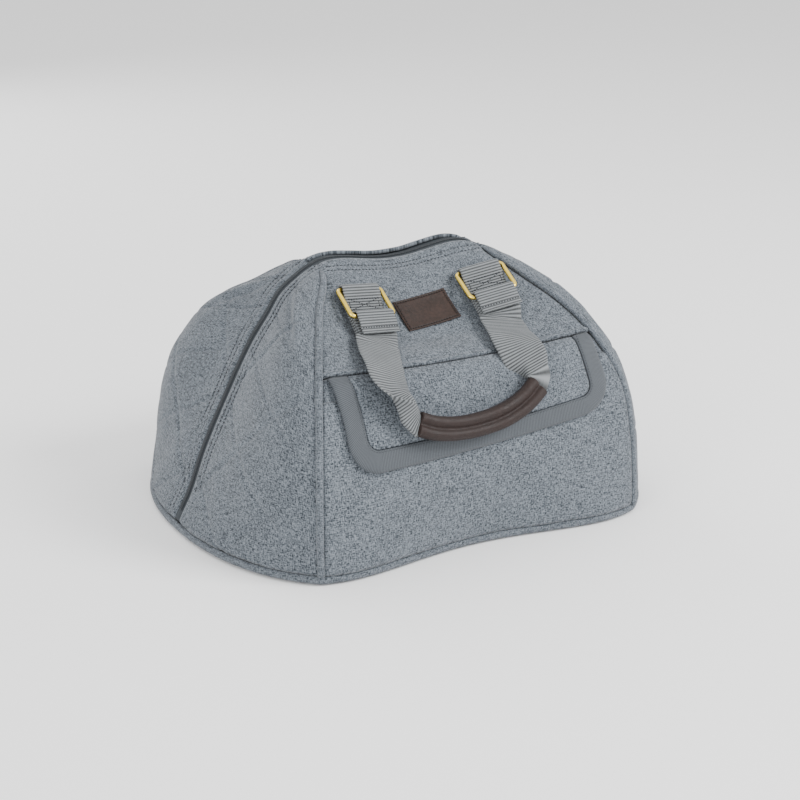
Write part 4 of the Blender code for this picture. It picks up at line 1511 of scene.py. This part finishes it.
# %% Bands with ribs
WEBBING_WIDTH = 0.0356
WEBBING_WALL = 0.0018
RIB_HEIGHT = 0.00055
RIB_ROUND = 0.8
ROWS_PER_RIB = 7
HALF_COLUMNS = 12
SELVEDGE = (0.35, 0.8, 0.95)


def smoothed(rows, step):
    """The same sheet with evenly spaced rows along one smooth curve."""
    table, travelled = [], 0.0
    middle = len(rows[0]) // 2
    for spot, row in enumerate(rows):
        if spot:
            travelled += (row[middle] - rows[spot - 1][middle]).length
        table.append([travelled] + [number for point in row for number in point])
    drawn = []
    for place in spread(0.0, travelled, round(travelled / step)):
        numbers = read_rows(table, place)
        drawn.append([Vector(numbers[first:first + 3]) for first in range(0, len(numbers), 3)])
    return drawn


def band(name, coarse_rows, slot, node):
    """Webbing along rows of points, with ribs on both its faces."""
    rows = smoothed(coarse_rows, RIB_PITCH / ROWS_PER_RIB)
    flat = measured_maps(rows)
    count = len(rows[0])
    loops, maps = [], []
    for spot, row in enumerate(rows):
        before, after = rows[max(spot - 1, 0)], rows[min(spot + 1, len(rows) - 1)]
        rib = abs(math.cos(math.pi * flat[spot][0][1] / RIB_PITCH)) ** RIB_ROUND
        upper, lower = [], []
        for number, point in enumerate(row):
            across = row[min(number + 1, count - 1)] - row[max(number - 1, 0)]
            normal = across.cross(after[number] - before[number]).normalized()
            edge = min(number, count - 1 - number)
            full = SELVEDGE[edge] if edge < len(SELVEDGE) else 1.0
            half = (WEBBING_WALL / 2 - RIB_HEIGHT * (1 - rib)) * full
            upper.append(point + normal * half)
            lower.append(point - normal * half)
        loops.append(upper + lower[::-1])
        maps.append(flat[spot] + flat[spot][::-1] + flat[spot][:1])
    made = grid_piece(name, loops, maps, grey_webbing, closed=True, capped=True)
    face_outwards(made)
    settle_in(made, slot, node)
    print(name, "faces:", len(made.data.polygons))


print("rows of points for a rib:", ROWS_PER_RIB)

# %% Where the rings hang
RING_WIRE = 0.0038
RING_INNER_HEIGHT = 0.0235
RING_SIDE_CLEARANCE = 0.001
RING_CORNER = 0.0032
RING_SIDES = 20
ANCHOR_LENGTH = 0.040
WEBBING_EASE = 0.0009
PATCH_CLEARANCE = 0.0015
FOLD_FROM = 60
FOLD_TO = 270
FOLD_ROWS = 14
SEAT_DOWN = (-0.08, 1.02)
SEAT_ACROSS = (-0.54, 0.54)
SEAT_LEAN = 0.8
RING_PLACES = (
    # side, x, top, turn
    (-1, -0.0575, 0.846, 3.0),
    (1, 0.0562, 0.846, 0.0),
)


def loop_radius():
    """From a bar's middle to the middle of the webbing that is folded round it."""
    return RING_WIRE / 2 + WEBBING_EASE + WEBBING_WALL / 2


def fold_turns():
    """Angles round a bar from the webbing's upper layer to its lower one."""
    return [math.radians(angle) for angle in spread(FOLD_FROM, FOLD_TO, FOLD_ROWS)]


def patch_frame(side):
    """A flat frame just over the yoke for the left, -1, or right, 1, ring and its anchor."""
    x, top, turn = read_rows(RING_PLACES, side)
    reach = ANCHOR_LENGTH / PANEL_LENGTH
    low = front_point(x, top - reach * SEAT_LEAN)
    high = front_point(x, top)
    across = (front_point(x + WEBBING_WIDTH / 2, top - reach / 2)
              - front_point(x - WEBBING_WIDTH / 2, top - reach / 2)).normalized()
    down = low - high
    down = (down - across * down.dot(across)).normalized()
    outward = down.cross(across).normalized()
    swing = Matrix.Rotation(math.radians(turn), 3, outward)
    across, down = swing @ across, swing @ down
    seat = 0.0
    for drop in spread(*SEAT_DOWN, 10):
        for share in spread(*SEAT_ACROSS, 8):
            place = down * ANCHOR_LENGTH * drop + across * WEBBING_WIDTH * share
            point = front_point(x + place.x, top - reach * drop)
            seat = max(seat, (point - high).dot(outward))
    return {"across": across, "down": down, "outward": outward, "top": top,
            "corner": high + outward * (seat + PATCH_CLEARANCE)}


def on_patch(frame_at, across, down, lift):
    """A place measured in a ring's flat frame."""
    return (frame_at["corner"] + frame_at["across"] * across + frame_at["down"] * down
            + frame_at["outward"] * lift)


def bar_places():
    """How far down and out the ring's top and lower bars lie in their frame."""
    top_lift = WEBBING_WALL / 2 + loop_radius()
    low_lift = 2 * WEBBING_WALL + 2 * GAP + WEBBING_WALL / 2 + loop_radius()
    height = RING_INNER_HEIGHT + RING_WIRE
    return top_lift, math.sqrt(height ** 2 - (low_lift - top_lift) ** 2), low_lift


print("rings' lower bars:", round(bar_places()[1], 4), "m below the upper ones")

# %% Rings and anchors
ANCHOR_LEAVES = 1.7
ANCHOR_SWELL = 0.45
ANCHOR_LANDS = (0.36, 0.55)
ANCHOR_UNDER = 0.5


def ring_route(side):
    """Points round the ring's wire, with its four rounded corners."""
    frame_at = patch_frame(side)
    top_lift, low_down, low_lift = bar_places()
    half = WEBBING_WIDTH / 2 + RING_SIDE_CLEARANCE + RING_WIRE / 2
    height = RING_INNER_HEIGHT + RING_WIRE
    corners = (
        (-half + RING_CORNER, RING_CORNER, 180),
        (half - RING_CORNER, RING_CORNER, 270),
        (half - RING_CORNER, height - RING_CORNER, 0),
        (-half + RING_CORNER, height - RING_CORNER, 90),
    )
    points = []
    for x, drop, start in corners:
        for angle in spread(start, start + 90, 8):
            turn = math.radians(angle)
            part = (drop + RING_CORNER * math.sin(turn)) / height
            points.append(on_patch(frame_at, x + RING_CORNER * math.cos(turn), part * low_down,
                                   top_lift + (low_lift - top_lift) * part))
    return points, frame_at["outward"]


def make_ring(name, side):
    """A round wire along the ring's route."""
    points, outward = ring_route(side)
    rows = []
    for spot, point in enumerate(points):
        run = (points[(spot + 1) % len(points)] - points[spot - 1]).normalized()
        sideways = run.cross(outward).normalized()
        rise = sideways.cross(run)
        rows.append([point + (sideways * math.cos(turn) + rise * math.sin(turn)) * (RING_WIRE / 2)
                     for turn in full_turn(RING_SIDES)])
    ring = grid_piece(name, rows, no_maps(rows), gold, closed=True, looped=True)
    face_outwards(ring)
    settle_in(ring, "gold_metal", name)


def anchor_upper():
    """Places down and lifts of the anchor's upper layer, from the ring to its sewn end."""
    radius = loop_radius()
    lift = WEBBING_WALL / 2 + WEBBING_WALL + GAP
    first, last = ANCHOR_LANDS
    return [(radius * ANCHOR_LEAVES, bar_places()[0] + radius * ANCHOR_SWELL),
            (ANCHOR_LENGTH * first, lift + GAP), (ANCHOR_LENGTH * last, lift), (ANCHOR_LENGTH, lift)]


def make_anchor(name, side):
    """Webbing folded over the ring's top bar, both its ends sewn down to the yoke."""
    frame_at = patch_frame(side)
    radius = loop_radius()
    top_lift = bar_places()[0]
    low_lift = WEBBING_WALL / 2
    route = anchor_upper()[::-1]
    for turn in fold_turns():
        route.append((radius * math.cos(turn), top_lift + radius * math.sin(turn)))
    route += [(ANCHOR_LENGTH * ANCHOR_UNDER, low_lift), (ANCHOR_LENGTH, low_lift)]
    rows = []
    for down, lift in route:
        rows.append([on_patch(frame_at, WEBBING_WIDTH * share, down, lift)
                     for share in spread(-0.5, 0.5, 2 * HALF_COLUMNS)])
    band(name, rows, "grey_webbing", name)


for side, word in ((-1, "left"), (1, "right")):
    make_anchor("anchor_" + word, side)
    make_ring("ring_" + word, side)

# %% The handle's route
STRAP_TAIL = 0.017
HANDLE_DROP = 0.105
HANDLE_SPREAD = 0.057
HANDLE_STAND = 0.016
GRIP_WIDTH = 0.019
FOLD_BEND = 0.2
TAIL_ROUTE = (
    # down, out: shares of STRAP_TAIL and of the turn's radius
    (1.00, 0.40),
    (0.70, 0.45),
    (0.40, 0.76),
)
HANDLE_ROUTE = (
    # down, left_x, right_x, stand, left_fold, right_fold, roll
    (0.30, -1.09, 0.92, -0.36, 0.00, 0.00, 4.0),
    (0.45, -1.20, 0.86, 0.02, 0.00, 0.00, 6.0),
    (0.58, -1.28, 0.80, 0.50, 0.00, 0.00, 12.0),
    (0.70, -1.33, 0.79, 0.80, 0.02, 0.00, 18.0),
    (0.82, -1.31, 0.83, 0.93, 0.26, 0.16, 18.0),
    (0.94, -1.19, 0.89, 1.00, 0.92, 0.90, 0.0),
)
GRIP_ROUTE = (
    # across, down
    (0.00, 1.070),
    (0.12, 1.115),
    (0.30, 1.145),
    (0.50, 1.145),
    (0.70, 1.115),
    (0.88, 1.050),
    (1.00, 0.975),
)
GRIP_LEFT_X = -1.10
GRIP_RIGHT_X = 0.84
print("the handle hangs", HANDLE_DROP, "m below the rings' lower bars")


# %% Rows of the handle's webbing
def folded_section(fold):
    """Places across and out of the webbing when its outer half is folded over its inner half."""
    half = WEBBING_WIDTH / 2
    angle = math.pi * fold
    inner_half = [(half * share, 0.0) for share in spread(0.0, 1.0, HALF_COLUMNS)]
    outer_half = []
    across, out, before = 0.0, 0.0, 0.0
    for share in spread(0.0, 1.0, HALF_COLUMNS)[1:]:
        heading = angle * min((before + share) / 2 / FOLD_BEND, 1.0)
        across -= half * (share - before) * math.cos(heading)
        out += half * (share - before) * math.sin(heading)
        outer_half.append((across, out))
        before = share
    shift = half / 2 * fold
    thick = half * FOLD_BEND / math.pi * fold
    return [(place - shift, rise - thick) for place, rise in outer_half[::-1] + inner_half]


def strap_section(fold, side):
    """The left strap's outer half folds over the front, the right one's inner half behind."""
    section = folded_section(fold)
    if side < 0:
        return section
    return [(-place, -rise) for place, rise in reversed(section)]


def handle_start():
    """Where the rings' lower bars lie along the front, on average."""
    tops = [top for side, x, top, turn in RING_PLACES]
    return sum(tops) / len(tops) - bar_places()[1] / PANEL_LENGTH


def grip_places(count):
    """Middle points and outward directions along the grip, from its left end."""
    places = []
    for across in spread(0.0, 1.0, count):
        down = read_rows(GRIP_ROUTE, across)[0]
        x = (GRIP_LEFT_X + (GRIP_RIGHT_X - GRIP_LEFT_X) * across) * HANDLE_SPREAD
        along = handle_start() - down * HANDLE_DROP / PANEL_LENGTH
        places.append((front_point(x, along, HANDLE_STAND), facing(x, along)))
    return places


print("middle of the grip:", [round(v, 3) for v in grip_places(2)[1][0]])


# %% Rows of each strap
def patch_row(frame_at, side, down, lift):
    """A flat row across the webbing from its outer edge to its inner one."""
    return [on_patch(frame_at, -side * place, down, lift) for place, rise in folded_section(0.0)]


def turn_rows(frame_at, side):
    """Rows of the tail, the turn round the ring's lower bar and the way past the anchor."""
    low_down, low_lift = bar_places()[1:]
    radius = loop_radius()
    rows = []
    for down, out in TAIL_ROUTE:
        rows.append(patch_row(frame_at, side, low_down + STRAP_TAIL * down, low_lift + radius * out))
    for turn in fold_turns():
        rows.append(patch_row(frame_at, side, low_down + radius * math.cos(turn),
                              low_lift + radius * math.sin(turn)))
    rows.append(patch_row(frame_at, side, ANCHOR_LENGTH + PANEL_WALL, low_lift - radius))
    return rows


def strap_places(side):
    """Middle points, outward directions, folds and rolls down one strap, ending at the grip."""
    column = 0 if side < 0 else 1
    reach = (GRIP_ROUTE[0][1] if side < 0 else GRIP_ROUTE[-1][1]) * HANDLE_DROP
    places = []
    for part in spread(HANDLE_ROUTE[0][0], HANDLE_ROUTE[-1][0], 16):
        columns = read_rows(HANDLE_ROUTE, part)
        x = columns[column] * HANDLE_SPREAD
        along = handle_start() - part * reach / PANEL_LENGTH
        place = front_point(x, along, columns[2] * HANDLE_STAND + dip_at(x, along))
        fold = columns[3] if side < 0 else columns[4]
        places.append((place, panel_outward(along), fold, math.radians(columns[5])))
    return places


def run_rows(side, start):
    """Rows of the strap's long run from a point near its ring to the grip's end."""
    grip = grip_places(15)
    end, after = (grip[0], grip[1]) if side < 0 else (grip[-1], grip[-2])
    lead = (after[0] - end[0]).normalized()
    places = strap_places(side) + [(end[0] + lead * 2 * GAP, end[1], 1.0, 0.0)]
    middles = [start] + [place[0] for place in places] + [places[-1][0] + lead * GRIP_WIDTH]
    rows = []
    for spot, (point, outward, fold, roll) in enumerate(places):
        before = point if spot == len(places) - 1 else middles[spot]
        run = (middles[spot + 2] - before).normalized()
        flat = outward.cross(run).normalized() * -side
        outward = run.cross(flat).normalized() * -side
        across = flat * math.cos(roll) - outward * math.sin(roll)
        outward = outward * math.cos(roll) + flat * math.sin(roll)
        rows.append([point + across * place + outward * rise
                     for place, rise in strap_section(fold, side)])
    return rows


# %% Straps
for side, word in ((-1, "left"), (1, "right")):
    rows = turn_rows(patch_frame(side), side)
    start = sum(rows[-1], Vector()) / len(rows[-1])
    band("strap_" + word, rows + run_rows(side, start), "grey_webbing", "strap_" + word)

# %% [markdown]
# The grip is leather rolled round the folded webbing from both sides, so that two rolls meet
# in a dark groove. One outline with that groove is swept along the handle's lowest part. Its
# ends are cut square.

# %% Grip
GRIP_THICKNESS = 0.0115
GRIP_GROOVE = 0.0026
GRIP_SIDES = 56
GRIP_ROWS = 120
GRIP_EDGE = 0.0006
GRIP_SQUARE = 0.8
GRIP_MAP_STEP = 0.001
GRIP_WAVES = (0.02, 0.03, 31.0)


def grip_section(share):
    """Outline of two rolls side by side with a groove between them, at a share of full size."""
    quarter = GRIP_WIDTH / 4
    outline = []
    for turn in full_turn(GRIP_SIDES):
        place = GRIP_WIDTH / 2 * math.cos(turn)
        off = (abs(place) - quarter) / quarter
        rise = GRIP_THICKNESS / 2 * math.sqrt(max(1 - off ** 2, 0.0)) ** GRIP_SQUARE
        if abs(place) < quarter:
            rise = max(rise, GRIP_THICKNESS / 2 - GRIP_GROOVE)
        outline.append((place * share, math.copysign(rise, math.sin(turn)) * share))
    return outline


places = grip_places(GRIP_ROWS)
rows = []
for spot, (point, outward) in enumerate(places):
    ahead = places[min(spot + 1, GRIP_ROWS)][0]
    run = (ahead - places[max(spot - 1, 0)][0]).normalized()
    across = outward.cross(run).normalized()
    outward = run.cross(across).normalized()
    full = 1.0 + waves(point, *GRIP_WAVES)
    if spot in (0, GRIP_ROWS):
        small = 1.0 - 2 * GRIP_EDGE / GRIP_THICKNESS
        rows.append([point + across * place + outward * rise for place, rise in grip_section(small)])
        point = point + run * (GRIP_EDGE if spot == 0 else -GRIP_EDGE)
    rows.append([point + across * place + outward * rise for place, rise in grip_section(full)])
rows[-1], rows[-2] = rows[-2], rows[-1]
maps = [[(GRIP_MAP_STEP * number, GRIP_MAP_STEP * spot) for number in range(GRIP_SIDES + 1)]
        for spot in range(len(rows))]
grip = grid_piece("grip", rows, maps, brown_leather, closed=True, capped=True)
face_outwards(grip)
settle_in(grip, "brown_leather", "grip")
grip_steps = [(after[0] - before[0]).length for before, after in zip(places, places[1:])]
print("grip length:", round(sum(grip_steps), 4), "m")

# %% [markdown]
# ## Label
#
# A small leather patch on the yoke, sewn on with dark thread close to its edge. It is a fine
# grid, so that its middle can wave a little and its stitched line can sink in.

# %% Label
LABEL_WIDTH = 0.049
LABEL_HEIGHT = 0.033
LABEL_WALL = 0.0016
LABEL_SHARE = 0.757
LABEL_TURN = 5.5
LABEL_STITCH_INSET = 0.0022
LABEL_STITCH_SINK = 0.00035
LABEL_STITCH_WIDTH = 0.0007
LABEL_EDGE_TUCK = (0.0007, 0.0006)
LABEL_WAVES = (0.02, 0.0004, 41.0)
LABEL_ROOM = 0.0002


def label_point(across, up, lift):
    """A place on the label, measured from its middle."""
    turn = math.radians(LABEL_TURN)
    x = across * math.cos(turn) - up * math.sin(turn)
    climb = across * math.sin(turn) + up * math.cos(turn)
    return front_point(x, LABEL_SHARE + climb / PANEL_LENGTH, CURVED_GAP + LABEL_WALL + lift)


def label_relief(across, up):
    """How the leather sinks along its stitches and rounds off at its edge."""
    edge = min(LABEL_WIDTH / 2 - abs(across), LABEL_HEIGHT / 2 - abs(up))
    off_row = (edge - LABEL_STITCH_INSET) / LABEL_STITCH_WIDTH
    sewn = LABEL_STITCH_SINK * math.exp(-off_row ** 2)
    return waves(Vector((across, up, 0.0)), *LABEL_WAVES) - sewn - tuck(edge, *LABEL_EDGE_TUCK)


rows, maps = [], []
for up in spread(-LABEL_HEIGHT / 2, LABEL_HEIGHT / 2, 90):
    places = spread(-LABEL_WIDTH / 2, LABEL_WIDTH / 2, 120)
    rows.append([label_point(across, up, label_relief(across, up)) for across in places])
    maps.append([(across, up) for across in places])
label = add_wall(grid_piece("label", rows, maps, patch_leather), LABEL_WALL - LABEL_ROOM)
settle_in(label, "brown_leather", "label")
declare_sheet(maps)
print("label points:", len(label.data.vertices))

# %% [markdown]
# ## Stitching
#
# Stitches could be painted, but from close by they need their own light and shade. Each seam
# line is a list of points on the surface it is sewn through, and the same tree that made the
# zip's teeth sets a stitch at every step along it.

# %% Stitches in the cloth
CLOTH_STITCH = (0.0023, 0.0009, 0.0008)
CLOTH_STEP = 0.0032
FRONT_ROW_LIFT = 0.0003
ROW_LIFT = 0.0004
ZIP_ROW_START = 0.03
ZIP_ROW_END = 0.985
LIP_ROW_ROOM = 0.006


def on_front(x, along):
    return front_point(x, along, front_relief(x, along) + FRONT_ROW_LIFT)


def gusset_row(distance, turn):
    """A stitched row on a gusset, at a distance from the zip's edge."""
    line = []
    for along in spread(ZIP_ROW_START, ZIP_ROW_END, 110):
        across = 1.0 - distance / gusset_chord(along).length
        line.append(turn(gusset_point(along, across, ROW_LIFT - GROOVE_DEPTH)))
    return line


lip_lines = []
for drop in LIP_ROWS:
    along = 1.0 - drop / PANEL_LENGTH
    half = level(along)["seam"].x - LIP_ROW_ROOM
    line = [on_front(x, along) for x in spread(-half, half, 60)]
    lip_lines += [line, [turned_back(point) for point in line]]
bars_along("lip_stitches", lip_lines, CLOTH_STEP, CLOTH_STITCH, dark_thread)

zip_rows = [gusset_row(distance, turn) for half, end, turn, flipped in QUARTERS for distance in ZIP_ROWS]
bars_along("zip_stitches", zip_rows, CLOTH_STEP, CLOTH_STITCH, dark_thread)

# %% Stitches in the binding and the webbing
SHORT_STITCH = (0.0016, 0.0006, 0.0005)
BOLD_STITCH = (0.0020, 0.0010, 0.0009)
SHORT_STEP = 0.0024
STITCH_LINE_STEPS = 12
BINDING_ROW_IN = 0.0015
BINDING_ROW_SINK = 0.0003
BOX_TOP = 0.0095
BOX_BOTTOM = 0.0185
BOX_HALF = 0.0142
TAIL_ROW_UP = 0.0045
TAIL_ROW_PAST = 0.002
binding_line = []
for x, down in border_line(BINDING_WIDTH - BINDING_ROW_IN, GAP):
    # Near the yoke seam this row stays out while the band tucks in.
    sink = BINDING_ROW_SINK - tuck(down, FLAP_TUCK, FLAP_TUCK_WIDTH)
    binding_line.append(flap_point(x, down, FLAP_LIFT + BINDING_PROUD - sink))
bars_along("binding_stitches", [binding_line], SHORT_STEP, SHORT_STITCH, dark_thread)

webbing_lines = []
for side in (-1, 1):
    frame_at = patch_frame(side)
    corners = [(-BOX_HALF, BOX_TOP), (BOX_HALF, BOX_TOP), (BOX_HALF, BOX_BOTTOM), (-BOX_HALF, BOX_BOTTOM)]
    crossing = [(corners[spot], corners[(spot + 1) % 4]) for spot in range(4)]
    crossing += [(corners[0], corners[2]), (corners[1], corners[3])]
    for start, end in crossing:
        line = []
        for part in spread(0.0, 1.0, STITCH_LINE_STEPS):
            across, down = between(start, end, part)
            lift = read_rows(anchor_upper(), down)[0] + WEBBING_WALL / 2
            line.append(on_patch(frame_at, across, down, lift))
        webbing_lines.append(line)
    low_down, low_lift = bar_places()[1:]
    down = low_down + STRAP_TAIL - TAIL_ROW_UP
    lift = low_lift + loop_radius() * TAIL_ROUTE[1][1] + WEBBING_WALL / 2
    webbing_lines.append([on_patch(frame_at, across, down, lift)
                          for across in (-BOX_HALF - TAIL_ROW_PAST, BOX_HALF + TAIL_ROW_PAST)])
bars_along("webbing_stitches", webbing_lines, SHORT_STEP, BOLD_STITCH, dark_thread)

# %% Stitches in the label
half_x = LABEL_WIDTH / 2 - LABEL_STITCH_INSET
half_up = LABEL_HEIGHT / 2 - LABEL_STITCH_INSET
corners = [(-half_x, -half_up), (half_x, -half_up), (half_x, half_up), (-half_x, half_up)]
label_lines = []
for start, end in zip(corners, corners[1:] + corners[:1]):
    label_lines.append([label_point(*between(start, end, part), 0.0)
                        for part in spread(0.0, 1.0, STITCH_LINE_STEPS)])
bars_along("label_stitches", label_lines, SHORT_STEP, BOLD_STITCH, brown_thread)
